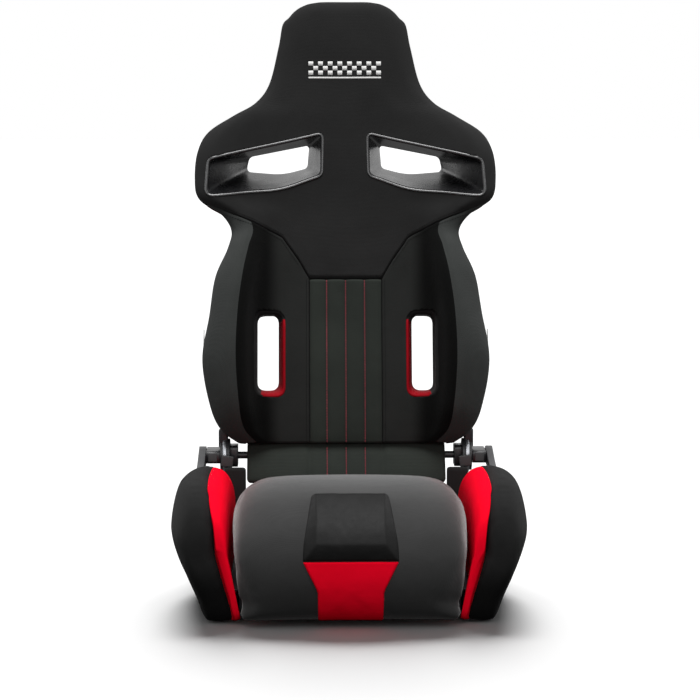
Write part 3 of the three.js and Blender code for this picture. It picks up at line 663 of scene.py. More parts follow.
# A closed outline (x, height) moved inwards.
def insetLoop(loop, distance):
    ahead = np.roll(loop, -1, 0) - np.roll(loop, 1, 0)
    normal = np.stack([-ahead[:, 1], ahead[:, 0]], 1)
    normal /= np.maximum(np.linalg.norm(normal, axis=1, keepdims=True), 1e-9)
    area = np.sum(loop[:, 0] * np.roll(loop[:, 1], -1) - np.roll(loop[:, 0], -1) * loop[:, 1])
    return loop + normal * distance * np.sign(area)


up = backSurface(np.linspace(0.0, topRow, 120), np.full(120, 8.0))[:, [0, 1]]
over = backSurface(np.full(30, float(topRow)), np.linspace(8, -8, 30))[1:-1, [0, 1]]
rim = np.concatenate([up, over, up[::-1] * (-1, 1)])
rings = []
for distance, depth in ((0, 0), (-0.4, 0.35), (0.2, 0.68), (2.2, 0.86), (5.5, 0.96),
                        (rearCase["corner"], 1.0)):
    loop = insetLoop(rim, rearCase["inset"] + distance)
    w = rearCase["front"] + (rearBend(loop[:, 0]) - rearCase["front"]) * depth
    rings.append(np.stack([loop[:, 0], loop[:, 1], w], 1))
caseShape = scratch("rearCase", np.concatenate(rings), ringFaces(len(rings), len(rim), False))
evenOut = caseShape.modifiers.new("voxels", "REMESH")
evenOut.mode = "VOXEL"
evenOut.voxel_size = rearCase["voxel"] * mm
relax = caseShape.modifiers.new("relax", "SMOOTH")
relax.iterations = rearCase["relax"]
applyModifiers(caseShape)
co = np.array([v.co for v in caseShape.data.vertices]) / mm
inner = np.clip((-4 - co[:, 2]) / 14, 0, 1)
want = np.maximum(rearBend(co[:, 0]), -rearCase["depth"]) + 1.5 * np.cos(co[:, 1] / 90)
co[:, 2] = np.where(inner > 0, np.maximum(co[:, 2], want - 1), co[:, 2])
offSeam = np.abs(co[:, 1] - rearCase["seam"]) / rearCase["seamWidth"]
groove = rearCase["seamDepth"] * np.exp(-(offSeam ** 2)) * inner
co[:, 2] += groove
co = onBack(co)
caseFaces = [tuple(p.vertices) for p in caseShape.data.polygons]
bpy.data.objects.remove(caseShape)
rearCover = piece("rearCover", co, caseFaces, backHide, "backrest")

# Backrest: strap bezels and waist slots.

bare = {"rows": 160, "columns": 120}
bareGrid = backSurface(*np.meshgrid(np.linspace(0, topRow, bare["rows"]),
                                    np.linspace(-8, 8, bare["columns"]), indexing="ij"))
wide = bare["columns"]
corners = [i * wide + j for i in range(bare["rows"] - 1) for j in range(wide - 1)]
bareTree = BVHTree.FromPolygons(bareGrid.reshape(-1, 3).tolist(),
                                [(a, a + 1, a + wide + 1, a + wide) for a in corners])


def heightOver(tree, x, v, fallback=30.0):
    hit = tree.ray_cast(Vector((x, v, 300)), Vector((0, 0, -1)))
    return hit[0].z if hit[0] else fallback


# A closed outline with rounded corners, the same number of points whatever its size.
def roundedLoop(corners, radii, steps, between):
    corners = np.array(corners, float)
    arcs = []
    for i, corner in enumerate(corners):
        before, after = corners[i - 1] - corner, corners[(i + 1) % len(corners)] - corner
        reach = min(radii[i], 0.45 * min(np.linalg.norm(before), np.linalg.norm(after)))
        start, end = (corner + reach * side / np.linalg.norm(side) for side in (before, after))
        for f in np.linspace(0, 1, steps):
            arcs.append((1 - f)**2 * start + 2 * f * (1 - f) * corner + f * f * end)
    points = []
    for i in range(len(corners)):
        points += arcs[i * steps:(i + 1) * steps]
        a, b = arcs[(i + 1) * steps - 1], arcs[((i + 1) * steps) % len(arcs)]
        points += [a + (b - a) * f for f in np.linspace(0, 1, between + 2)[1:-1]]
    return np.array(points)


def outNormals(loop):
    return loop - insetLoop(loop, 1.0)


bezel = {"front": [(37, 543), (38, 470), (112, 443), (224, 444), (219, 497)],
         "rear": [(61, 541), (64, 501), (107, 489), (171, 494), (166, 520)],
         "frontAt": 48, "rearAt": -38, "corner": (7, 7, 26, 9, 9), "wall": 3.4, "rim": 2.6}
frontLoop = roundedLoop(bezel["front"], bezel["corner"], 6, 8)
rearLoop = roundedLoop(bezel["rear"], [r * 0.9 for r in bezel["corner"]], 6, 8)
frontOut, rearOut = outNormals(frontLoop), outNormals(rearLoop)


# The funnel's outline where it passes a depth, or a depth for each of its points.
def funnelAt(w, grow, sign=1):
    share = (np.asarray(w, float) - bezel["rearAt"]) / (bezel["frontAt"] - bezel["rearAt"])
    share = np.broadcast_to(share, len(frontLoop))[:, None]
    flat = rearLoop + (frontLoop - rearLoop) * share + (rearOut + (frontOut - rearOut) * share) * grow
    return np.column_stack([flat[:, 0] * sign, flat[:, 1], np.broadcast_to(w, len(flat))])


def funnelOnFace(grow, lift, sign):
    w = np.full(len(frontLoop), 46.0)
    for _ in range(6):
        ring = funnelAt(w, grow, sign)
        w = 0.5 * w + 0.5 * np.array([heightOver(bareTree, p[0], p[1], 40) + lift for p in ring])
    return funnelAt(w, grow, sign)


def loopSolid(name, rings, material):
    faces = ringFaces(len(rings), len(rings[0]), True)
    return piece(name, onBack(np.concatenate(rings)), faces, material, "backrest")


def plug(name, rings):
    return scratch(name, onBack(np.concatenate(rings)), ringFaces(len(rings), len(rings[0]), False))


plugs = {}
for side, sign in sides:
    rings = [funnelOnFace(grow, lift, sign) for grow, lift in
             ((4.6, -6), (5.4, -1.5), (5.6, 0.8), (4.8, bezel["rim"] - 0.4), (3.4, bezel["rim"] + 0.3),
              (1.8, bezel["rim"] + 0.3), (0.6, bezel["rim"] - 0.5), (0, 0.6), (-0.1, -2), (0, -5))]
    rings += [funnelAt(w, 0, sign) for w in (24, 12, 0, -12, -24, -34, -38)]
    rings += [funnelAt(w, grow, sign) for w, grow in
              ((-41, 0.6), (-43.5, 2), (-44, 4), (-43, 6.5), (-40, 6.5))]
    rings += [funnelAt(w, bezel["wall"], sign) for w in (-38, -10, 18)]
    loopSolid(f"strapBezel_{side}", rings, bezelPlastic)
    plugs[side] = [plug(f"strapPlug_{side}", [funnelAt(w, 3.9, sign) for w in (120, 60, 20, -20, -70)])]

trim = {"inner": 105, "outer": 150, "bottom": 97, "top": 237, "corner": 15,
        "flare": 9, "raise": 15, "lift": 5}


def slotLoop(grow, flare, sign):
    inner, outer = trim["inner"] - grow + trim["flare"] * flare, trim["outer"] + grow
    bottom, top = trim["bottom"] - grow + trim["raise"] * flare, trim["top"] + grow + trim["lift"] * flare
    corners = [(inner, top), (inner, bottom), (outer, bottom), (outer, top)]
    loop = roundedLoop(corners, [trim["corner"] + grow] * 4, 8, 12)
    loop[:, 0] *= sign
    return loop


# The rim's outline on the cover, which stands proud on the inner side and the foot and sinks elsewhere.
def slotRing(grow, lift, flare, sign):
    loop = slotLoop(grow, flare, sign)
    inside = np.clip((trim["outer"] - 12 - np.abs(loop[:, 0])) / 20, 0, 1)
    inside *= np.clip((trim["top"] - 2 - loop[:, 1]) / 16, 0.25, 1)
    sunk = (1 - inside) * 6.5
    w = np.array([heightOver(bareTree, x, v) + lift for x, v in loop]) - sunk
    return np.column_stack([loop, w])


def slotFlat(grow, w, flare, sign):
    loop = slotLoop(grow, flare, sign)
    return np.column_stack([loop, np.full(len(loop), w)])


trims = {}
for side, sign in sides:
    rings = [slotRing(grow, lift, flare, sign) for grow, lift, flare in
             ((3.0, -5, 0), (3.6, -1.5, 0), (4.0, 0.5, 0), (3.4, 2.0, 0), (2.0, 2.7, 0), (0.5, 2.3, 0),
              (-0.4, 0.8, 0.05), (-0.2, -1.0, 0.1), (0, -5, 0.25))]
    rings += [slotFlat(grow, w, flare, sign) for grow, w, flare in
              ((0, 18, 0.5), (0, 4, 0.72), (0, -12, 0.9), (0, -28, 1.0), (0, -36, 1.0), (1.4, -38.5, 1.0),
               (2.8, -38, 0.9), (2.6, -30, 0.4), (2.6, 0, 0), (2.8, 18, 0))]
    trims[side] = loopSolid(f"slotTrim_{side}", rings, redTrim)
    trims[side].data.materials.append(knitBlack)
    for face in trims[side].data.polygons:
        x, v = abs(face.center.x) / mm, upBack(face.center)
        face.material_index = int(x > trim["outer"] - 9 or v > trim["top"] - 12)
    grown = [slotFlat(3.3, w, 0, sign) for w in (160, 60, 0, -70)]
    plugs[side].append(plug(f"slotPlug_{side}", grown))

for side, sign in sides:
    strapPlug, slotPlug = plugs[side]
    cut(yokeCover, strapPlug)
    cut(rearCover, strapPlug)
    cut(rearCover, slotPlug)
    cut(wingCovers[side], slotPlug)
for side, sign in sides:
    for tool in plugs[side]:
        bpy.data.objects.remove(tool)
    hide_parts(f"back_bolster_{side}")
    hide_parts(f"strap_bezel_front_{side}", f"strap_bezel_rear_{side}")
    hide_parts(f"slot_liner_{side}")
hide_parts("yoke_pad")
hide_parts("centre_pad")
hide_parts("tongue_pad")
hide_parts("rear_shell")
print("bezels and trims made")

# Base: seat cushion.

# The cushion's middle line from behind, over the top and down the nose: (along the seat, height).
seatLine = [(40, 70), (59, 92), (60, 120), (52, 142), (32, 153), (0, 161), (-40, 173), (-80, 184.5),
            (-130, 194), (-180, 198), (-210, 196.5), (-235, 192.5), (-260, 185), (-282, 174),
            (-304, 158), (-320, 140),
            (-327, 122), (-330, 104), (-330, 84), (-329, 63), (-325, 35), (-320, 9), (-312, 2), (-300, 2),
            (-292, 18), (-286, 46), (-276, 62), (-180, 61), (-60, 61)]
# Across it: (half width, fall below the middle line).
seatAcross = [(0, 0), (45, 0.3), (90, 1.2), (125, 3.2), (148, 7), (162, 12.5), (173, 22),
              (180, 40), (183, 60), (182, 78)]
seat = {"voxel": 6, "pressure": 4, "cap": 7, "smaller": 2.5, "relax": 10}


# A smooth closed line through points (y, z), evenly spaced.
def closedLine(points, count):
    net = Net(np.repeat(np.array([[(0, y, z)] for y, z in points + points[:1]], float), 2, 1))
    fine = net.at(np.linspace(0, len(points), 900), 0.0)[:, 1:]
    arc = np.concatenate([[0], np.cumsum(np.linalg.norm(np.diff(fine, axis=0), axis=1))])
    places = np.linspace(0, arc[-1], count, endpoint=False)
    return np.column_stack([np.interp(places, arc, fine[:, i]) for i in (0, 1)])


# The cushion's share of its full half width, which narrows towards the nose and behind.
def seatWidth(y, z):
    nose = np.interp(z, (5, 30, 60, 90), (0.93, 0.96, 0.99, 1))
    behind = np.interp(y, (-40, 0, 60), (1, 0.975, 0.93))
    return np.where(y < -150, nose, 1) * behind


def seatLoops(smaller):
    loop = closedLine(seatLine, 150)
    ahead = np.roll(loop, -1, 0) - np.roll(loop, 1, 0)
    normals = np.column_stack([ahead[:, 1], -ahead[:, 0]])
    normals /= np.linalg.norm(normals, axis=1, keepdims=True)
    centre = loop.mean(0)
    if np.sum(normals * (loop - centre)) < 0:
        normals = -normals
    weight = np.clip((loop[:, 1] - 62) / 40, 0, 1)
    weight = np.where(loop[:, 0] > 20, 0.35 * weight, weight)
    weight = np.where(loop[:, 0] < -285, 0.62 * np.clip((loop[:, 1] - 8) / 20, 0, 1), weight)
    overLip = (loop[:, 0] < -240) & (loop[:, 1] > 104)
    weight = np.where(overLip, np.interp(loop[:, 1], (104, 150, 184), (0.62, 0.9, 1)), weight)
    lipCap = np.where(loop[:, 0] < -262, np.interp(loop[:, 1], (60, 140), (15, 60)), 99)
    rings = []
    acrossNet = np.array(seatAcross, float)
    for x, fall in np.concatenate([acrossNet[::-1] * (-1, 1), acrossNet[1:]]):
        moved = loop - normals * (np.minimum(fall * weight, lipCap) + smaller)[:, None]
        width = seatWidth(loop[:, 0], loop[:, 1])
        rings.append(np.column_stack([(x - np.sign(x) * smaller) * width,
                                      moved[:, 0] + seatShift, moved[:, 1]]))
    return rings


fabricFeel = {"quality": 5, "tension": 12, "bending": 0.6, "frames": 20}


# Remeshes a closed form evenly and lets cloth under pressure fill it, up to a limit.
def puff(made, voxel, pressure, cap, relax=4):
    grid = made.modifiers.new("voxels", "REMESH")
    grid.mode = "VOXEL"
    grid.voxel_size = voxel * mm
    calm = made.modifiers.new("calm", "SMOOTH")
    calm.iterations = relax
    applyModifiers(made)
    start = np.array([v.co for v in made.data.vertices])
    fabric = made.modifiers.new("fabric", "CLOTH")
    fabric.settings.quality = fabricFeel["quality"]
    fabric.settings.use_pressure = True
    fabric.settings.uniform_pressure_force = pressure
    fabric.settings.effector_weights.gravity = 0
    fabric.settings.tension_stiffness = fabricFeel["tension"]
    fabric.settings.bending_stiffness = fabricFeel["bending"]
    fabric.point_cache.frame_start = 1
    fabric.point_cache.frame_end = fabricFeel["frames"]
    for step in range(1, fabricFeel["frames"] + 1):
        scene.frame_set(step)
    applyModifiers(made)
    scene.frame_set(1)
    end = np.array([v.co for v in made.data.vertices])
    move = end - start
    size = np.linalg.norm(move, axis=1, keepdims=True)
    limit = cap * mm
    end = start + move * (limit * np.tanh(size / limit) / np.maximum(size, 1e-9))
    made.data.vertices.foreach_set("co", end.ravel())
    made.data.update()


def finer(made, levels=1):
    split = made.modifiers.new("split", "SUBSURF")
    split.levels = levels
    split.render_levels = levels
    applyModifiers(made)
    shadeSmooth(made.data)


rings = seatLoops(seat["smaller"])
seatCover = piece("seatCover", np.concatenate(rings), ringFaces(len(rings), len(rings[0]), False),
                  seatCloth, "base")
puff(seatCover, seat["voxel"], seat["pressure"], seat["cap"], seat["relax"])
finer(seatCover)

# Base: insert pad and nose panel on the cushion.

# Widths are (share of the way down, half width there); deep is how far a pad sinks into the cushion.
insert = {"from": -256, "bottom": 104.5, "rise": 11.5, "side": 22, "foot": 29, "top": 9,
          "widths": ((0, 0.45, 0.8, 1), (59, 65, 71, 72)), "cells": (84, 70), "deep": 4}
nose = {"bottom": 6, "rise": 2.2, "deep": 3, "cells": (70, 60),
        "widths": ((0, 0.40, 0.47, 1), (71.5, 51.5, 49.3, 48.5))}
seatTree = BVHTree.FromPolygons([tuple(v.co / mm) for v in seatCover.data.vertices],
                                [tuple(p.vertices) for p in seatCover.data.polygons])
hub = Vector((0, -215 + seatShift, 74))


# Where the cushion's skin is, looking out from a line inside it at an angle above level.
def seatSkin(x, angle):
    aim = Vector((0, -math.cos(angle), math.sin(angle)))
    start = Vector((x, hub.y, hub.z))
    hit = seatTree.ray_cast(start + aim * 400, -aim)
    return np.array(hit[0]), np.array(hit[1]) * (1 if hit[1].dot(aim) > 0 else -1)


def angleOf(y, z):
    return math.atan2(z - hub.z, -(y + seatShift - hub.y))


# A pad that lies on the cushion between angles, its half width given for each share along.
def overlay(name, angles, halves, cells, lift, deep, material):
    rows, cols = cells
    skin, normals = np.zeros((rows, cols, 3)), np.zeros((rows, cols, 3))
    for i, share in enumerate(np.linspace(0, 1, rows)):
        angle = angles[0] + (angles[1] - angles[0]) * share
        width = float(halves(share))
        for j, across in enumerate(np.linspace(-1, 1, cols)):
            skin[i, j], normals[i, j] = seatSkin(across * width, angle)
    smoothed = normals.copy()
    for _ in range(6):
        smoothed[1:-1] = (smoothed[:-2] + 2 * smoothed[1:-1] + smoothed[2:]) / 4
    smoothed /= np.linalg.norm(smoothed, axis=-1, keepdims=True)
    high = lift(skin, edgeDistances(skin))
    front = skin + smoothed * high[..., None]
    rear = skin - smoothed * deep
    return piece(name, np.concatenate([front.reshape(-1, 3), rear.reshape(-1, 3)]),
                 slabFaces(rows, cols), material, "base")


def softMin(values, sharp):
    return -np.log(sum(np.exp(-sharp * v) for v in values)) / sharp


def insertLift(skin, edges):
    left, right, first, last = edges
    share = first / (first + last)
    side = insert["side"] * (0.35 + 0.65 * np.clip(share / 0.75, 0, 1))
    flanks = [insert["rise"] * edge / side for edge in (left, right)]
    foot = 2.5 + insert["rise"] * last / insert["foot"]
    top = 2.0 + insert["rise"] * first / insert["top"]
    high = softMin([np.full_like(left, insert["rise"]), flanks[0] + 1.5, flanks[1] + 1.5, foot, top], 4.0)
    rim = np.minimum(np.minimum(left, right), np.minimum(first, last))
    return high - seamFall(rim, 2.2) + 0.3 * ripple(skin, 12, 6.0)


padAngles = (angleOf(insert["from"], 186), angleOf(-330, insert["bottom"]))
insertPad = overlay("insertPad", padAngles,
                    lambda share: np.interp(share, *insert["widths"]), insert["cells"],
                    insertLift, insert["deep"], padHide)


def noseLift(skin, edges):
    left, right, first, last = edges
    rim = np.minimum(np.minimum(left, right), last)
    return nose["rise"] - seamFall(rim, 2.0) - seamFall(first, 1.5) + 0.25 * ripple(skin, 25, 8.0)


noseAngles = (angleOf(-330, insert["bottom"] - 1), angleOf(-314, nose["bottom"] - 2))
nosePanel = overlay("nosePanel", noseAngles,
                    lambda share: np.interp(share, *nose["widths"]), nose["cells"],
                    noseLift, nose["deep"], redCloth)
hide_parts("seat_cushion")
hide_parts("front_insert_pad")
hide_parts("nose_panel")
print("seat cushion made")

# Base: thigh bolsters and their red inlays.

# Around a section from its lowest inner corner: share of the width outwards, share of the height.
thighSection = [(-0.03, 0.012), (-0.02, 0.2), (0.0, 0.47), (0.04, 0.7), (0.1, 0.86), (0.22, 0.965),
                (0.42, 1.0), (0.6, 0.99), (0.77, 0.93), (0.91, 0.8), (0.99, 0.65), (1.0, 0.5),
                (0.95, 0.36), (0.84, 0.24),
                (0.68, 0.12), (0.5, 0.035), (0.36, 0.0), (0.15, 0.0)]
# Along the seat: (place, bottom, top, outer half width).
thighStations = [(-301, 52, 132, 246), (-299, 22, 147, 250), (-294, 5, 163, 254), (-287, 1.5, 177, 258),
                 (-272, 1.5, 190, 262), (-250, 3, 200, 266), (-225, 6, 207, 269), (-190, 9, 210.5, 271),
                 (-150, 9, 211, 272), (-110, 9, 210, 271), (-80, 9, 208, 266), (-50, 9, 205, 252),
                 (-25, 9, 200, 239), (0, 9, 193, 234), (25, 9, 183, 230), (46, 9, 168, 228),
                 (57, 10, 150, 227), (60, 12, 136, 226)]
thigh = {"inner": 205.5, "voxel": 6, "pressure": 4, "cap": 5}


def stationNet(stations, section, inner, sign):
    table = np.array(stations, float)
    fine = np.linspace(0, len(table) - 1, 60)
    net = Net(np.repeat(np.array([[(row[1], row[2], row[3])] for row in table]), 2, 1))
    sizes = net.at(fine, 0.0)
    places = Net(np.repeat(np.array([[(row[0], 0, 0)] for row in table]), 2, 1)).at(fine, 0.0)[:, 0]
    shape = closedLine([tuple(p) for p in section], 72)
    rings = []
    for (bottom, top, outer), y in zip(sizes, places):
        x = inner + (outer - inner) * shape[:, 0]
        z = bottom + (top - bottom) * shape[:, 1]
        rings.append(np.column_stack([x * sign, np.full(len(x), y + seatShift), z]))
    return rings


toe = {"reach": 36, "height": 104, "front": -292, "rear": -272, "taper": 26}


# Pulls the low inner side of a front section towards the cushion, and tucks its low outer side in.
def toeOut(ring, sign, reach):
    y, wide = ring[0, 1] - seatShift, np.abs(ring[:, 0])
    along = np.clip((toe["rear"] - y) / (toe["rear"] - toe["front"]), 0, 1)
    inside = np.clip((228 - wide) / 24, 0, 1)
    low = np.clip(1 - ring[:, 2] / toe["height"], 0, 1) ** 0.9
    near = np.clip((-90 - y) / 160, 0, 1)
    under = np.clip((130 - ring[:, 2]) / 100, 0, 1) * np.clip((wide - 205) / 50, 0, 1.1)
    ring[:, 0] -= sign * (reach * along * inside * low + toe["taper"] * near * under)
    return ring


inlaySection = [(-0.02, 0.0), (0.0, 0.2), (0.0, 0.5), (0.02, 0.72), (0.16, 0.86), (0.5, 0.96), (1.0, 1.0),
                (1.0, 0.95), (0.86, 0.78), (0.74, 0.5), (0.56, 0.2), (0.46, 0.0)]
inlayStations = [(-301, 40, 118, 201), (-299, 18, 138, 203), (-294, 9, 156, 205), (-286, 8, 168, 208),
                 (-276, 12, 176, 210), (-262, 36, 184, 212), (-248, 50, 190, 213), (-225, 50, 197.5, 216),
                 (-150, 50, 202.5, 217), (-60, 50, 198, 216), (-10, 50, 187, 215), (30, 50, 171, 214),
                 (48, 50, 152, 211), (54, 52, 138, 208)]
inlay = {"inner": 184.5, "toe": 20}
for side, sign in sides:
    rings = stationNet(thighStations, thighSection, thigh["inner"], sign)
    rings = [toeOut(ring, sign, toe["reach"]) for ring in rings]
    cover = piece(f"thighCover_{side}", np.concatenate(rings), ringFaces(len(rings), len(rings[0]), False),
                  thighKnit, "base")
    puff(cover, thigh["voxel"], thigh["pressure"], thigh["cap"])
    finer(cover)
    rings = stationNet(inlayStations, inlaySection, inlay["inner"], sign)
    rings = [toeOut(ring, sign, inlay["toe"]) for ring in rings]
    patch = piece(f"inlayCover_{side}", np.concatenate(rings), ringFaces(len(rings), len(rings[0]), False),
                  redCloth, "base")
    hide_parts(f"thigh_bolster_{side}")
    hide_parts(f"bolster_inlay_{side}")
print("thigh bolsters made")

# Hardware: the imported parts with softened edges.


edgeWork = {"merge": 2e-5, "flat": 1, "sharp": 38, "crease": 40, "segments": 2}


# A part of the frame with its flat faces rebuilt and its edges rounded.
def softened(name, material, width):
    source = nodes[name]
    mesh = source.data.copy()
    made = bpy.data.objects.new(name + "_skin", mesh)
    scene.collection.objects.link(made)
    mesh.materials.clear()
    mesh.materials.append(material)
    work = bmesh.new()
    work.from_mesh(mesh)
    bmesh.ops.remove_doubles(work, verts=work.verts, dist=edgeWork["merge"])
    bmesh.ops.dissolve_limit(work, angle_limit=math.radians(edgeWork["flat"]), verts=work.verts,
                             edges=work.edges)
    bmesh.ops.recalc_face_normals(work, faces=work.faces)
    work.to_mesh(mesh)
    work.free()
    edge = made.modifiers.new("edge", "BEVEL")
    edge.width = width * mm
    edge.segments = edgeWork["segments"]
    edge.limit_method = "ANGLE"
    edge.angle_limit = math.radians(edgeWork["sharp"])
    applyModifiers(made)
    made.data.set_sharp_from_angle(angle=math.radians(edgeWork["crease"]))
    shadeSmooth(made.data)
    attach(made, source["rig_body"])
    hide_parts(name)
    return made


for side, sign in sides:
    for stem, material, slotName, width in (
            ("release_lever", blackPlastic, "black_plastic", 1.6),
            ("hinge_cover", blackPlastic, "black_plastic", 1.6),
            ("recliner_bush", blackPlastic, "grey_plastic", 1.4),
            ("recliner_bracket", paintedSteel, "bare_steel", 0.6),
            ("recliner_core", bareSteel, "bare_steel", 0.6), ("hinge_arm", paintedSteel, "bare_steel", 0.6),
            ("side_rail", paintedSteel, "painted_steel", 0.8),
            ("thigh_wing", paintedSteel, "painted_steel", 0.4),
            ("mount_spacer_front", bareSteel, "bare_steel", 0.6),
            ("mount_spacer_rear", bareSteel, "bare_steel", 0.6),
            ("arm_bolt_low", bareSteel, "bare_steel", 0.7), ("side_tag", whiteThread, "white_thread", 0.3)):
        softened(f"{stem}_{side}", material, width)

hinge = {"front": 36, "back": 31.5, "down": 14, "up": 4.5, "from": 189, "to": 209, "tilt": 8,
         "lid": 7.4, "lidAt": (223.5, 190.6), "lidProud": 1.2,
         "shield": ((198, -12, 14), (214, -3, 46)), "gusset": ((167.5, 60, 98), (203, 72, 176)),
         "blockRound": 1.8, "lidRound": 1.1, "shieldRound": 3.5, "gussetRound": 6}


# A moulded block with rounded edges, turned a little about its own middle in the front view.
def roundedBlock(name, low, high, radius, material, body, turn=0.0):
    work = bmesh.new()
    bmesh.ops.create_cube(work, size=1.0)
    low, high = Vector(low), Vector(high)
    middle = (low + high) / 2
    size = high - low
    bmesh.ops.scale(work, vec=size, verts=work.verts)
    bmesh.ops.bevel(work, geom=work.edges[:], offset=radius, segments=3, affect="EDGES", profile=0.6)
    bmesh.ops.rotate(work, matrix=Matrix.Rotation(math.radians(turn), 3, "Y"), verts=work.verts)
    points = [(v.co + middle) for v in work.verts]
    faces = [tuple(v.index for v in f.verts) for f in work.faces]
    work.free()
    made = piece(name, np.array([tuple(p) for p in points]), faces, material, body)
    made.data.set_sharp_from_angle(angle=math.radians(50))
    return made


for side, sign in sides:
    ends = sorted((sign * hinge["from"], sign * hinge["to"]))
    roundedBlock(f"reclinerShroud_{side}", (ends[0], pivot[1] - hinge["front"], pivot[2] - hinge["down"]),
                 (ends[1], pivot[1] - hinge["back"], pivot[2] + hinge["up"]),
                 hinge["blockRound"], greyPlastic, "base", -sign * hinge["tilt"])
    x, z = hinge["lidAt"]
    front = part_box(f"hinge_cover_{side}")[0].y / mm
    roundedBlock(f"hubLid_{side}", (sign * x - hinge["lid"], front - hinge["lidProud"], z - hinge["lid"]),
                 (sign * x + hinge["lid"], front + 2, z + hinge["lid"]),
                 hinge["lidRound"], lidPlastic, "backrest")
    near, far = hinge["shield"]
    ends = sorted((sign * near[0], sign * far[0]))
    roundedBlock(f"armShield_{side}", (ends[0], pivot[1] + near[1], pivot[2] + near[2]),
                 (ends[1], pivot[1] + far[1], pivot[2] + far[2]), hinge["shieldRound"], blackPlastic,
                 "backrest")
    near, far = hinge["gusset"]
    ends = sorted((sign * near[0], sign * far[0]))
    gusset = roundedBlock(f"sideGusset_{side}", (ends[0], *near[1:]), (ends[1], *far[1:]),
                          hinge["gussetRound"], knitBlack, "base")
print("hardware made")

# Stitching, piping and embroidery.


def nodeGroup(name, sockets):
    group = bpy.data.node_groups.new(name, "GeometryNodeTree")
    group.interface.new_socket("Geometry", in_out="INPUT", socket_type="NodeSocketGeometry")
    for title, kind in sockets:
        group.interface.new_socket(title, in_out="INPUT", socket_type=kind)
    group.interface.new_socket("Geometry", in_out="OUTPUT", socket_type="NodeSocketGeometry")
    return group, group.nodes.new("NodeGroupInput"), group.nodes.new("NodeGroupOutput")


# The first nodes of both groups: loose edges become lines with points at an even step.
def evenLines(group, start, step):
    line = group.nodes.new("GeometryNodeMeshToCurve")
    even = group.nodes.new("GeometryNodeResampleCurve")
    even.mode = "LENGTH"
    wire(group, (start, "Geometry", line, "Mesh"), (line, "Curve", even, "Curve"),
         (start, step, even, "Length"))
    return even


# The last nodes of both groups: real faces with their material.
def closeGroup(group, start, end, last, output):
    real = group.nodes.new("GeometryNodeRealizeInstances")
    dye = group.nodes.new("GeometryNodeSetMaterial")
    wire(group, (last, output, real, "Geometry"), (real, "Geometry", dye, "Geometry"),
         (start, "Material", dye, "Material"), (dye, "Geometry", end, "Geometry"))
    return group


# Lines in, a row of separate rounded stitches out.
def stitchGroup():
    group, start, end = nodeGroup("stitchRow", [("Pitch", "NodeSocketFloat"), ("Length", "NodeSocketFloat"),
                                                ("Radius", "NodeSocketFloat"), ("Seed", "NodeSocketInt"),
                                                ("Material", "NodeSocketMaterial")])
    add = group.nodes.new
    even = evenLines(group, start, "Pitch")
    tangent = add("GeometryNodeInputTangent")
    aim = add("FunctionNodeAlignRotationToVector")
    aim.axis = "Z"
    bead = add("GeometryNodeMeshUVSphere")
    bead.inputs["Segments"].default_value = 6
    bead.inputs["Rings"].default_value = 5
    bead.inputs["Radius"].default_value = 1.0
    size = add("ShaderNodeCombineXYZ")
    halfLength = add("ShaderNodeMath")
    halfLength.operation = "MULTIPLY"
    halfLength.inputs[1].default_value = 0.5
    vary = add("FunctionNodeRandomValue")
    vary.inputs[2].default_value = 0.9
    vary.inputs[3].default_value = 1.1
    scaled = add("ShaderNodeVectorMath")
    scaled.operation = "SCALE"
    place = add("GeometryNodeInstanceOnPoints")
    wire(group, (tangent, "Tangent", aim, "Vector"), (start, "Length", halfLength, 0),
         (start, "Radius", size, "X"), (start, "Radius", size, "Y"), (halfLength, 0, size, "Z"),
         (start, "Seed", vary, "Seed"), (size, 0, scaled, 0), (vary, 1, scaled, "Scale"),
         (even, "Curve", place, "Points"), (bead, "Mesh", place, "Instance"),
         (aim, "Rotation", place, "Rotation"), (scaled, 0, place, "Scale"))
    return closeGroup(group, start, end, place, "Instances")


# Lines in, a round cord along each of them out.
def cordGroup():
    group, start, end = nodeGroup("roundCord", [("Step", "NodeSocketFloat"), ("Radius", "NodeSocketFloat"),
                                                ("Material", "NodeSocketMaterial")])
    even = evenLines(group, start, "Step")
    ring = group.nodes.new("GeometryNodeCurvePrimitiveCircle")
    ring.inputs["Resolution"].default_value = 8
    sweep = group.nodes.new("GeometryNodeCurveToMesh")
    sweep.inputs["Fill Caps"].default_value = True
    smooth = group.nodes.new("GeometryNodeSetShadeSmooth")
    wire(group, (start, "Radius", ring, "Radius"), (even, "Curve", sweep, "Curve"),
         (ring, "Curve", sweep, "Profile Curve"), (sweep, "Mesh", smooth, "Geometry"))
    return closeGroup(group, start, end, smooth, "Geometry")


groups = {"stitchRow": stitchGroup(), "roundCord": cordGroup()}


# Bakes a node group's work along lines of points in millimetres into one plain mesh.
def alongLines(name, lines, groupName, values, material, body):
    points = np.concatenate([np.asarray(line) for line in lines]) * mm
    edges, start = [], 0
    for line in lines:
        edges += [(start + i, start + i + 1) for i in range(len(line) - 1)]
        start += len(line)
    mesh = bpy.data.meshes.new(name + "Path")
    mesh.from_pydata(points.tolist(), edges, [])
    carrier = bpy.data.objects.new(name + "Path", mesh)
    scene.collection.objects.link(carrier)
    group = groups[groupName]
    tool = carrier.modifiers.new("nodes", "NODES")
    tool.node_group = group
    wanted = {**values, "Material": material}
    for item in group.interface.items_tree:
        if item.item_type == "SOCKET" and item.in_out == "INPUT" and item.name in wanted:
            tool[item.identifier] = wanted[item.name]
    bpy.context.view_layer.update()
    graph = bpy.context.evaluated_depsgraph_get()
    baked = bpy.data.meshes.new_from_object(carrier.evaluated_get(graph))
    bpy.data.objects.remove(carrier)
    made = bpy.data.objects.new(name, baked)
    scene.collection.objects.link(made)
    shadeSmooth(baked)
    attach(made, body)
    return made


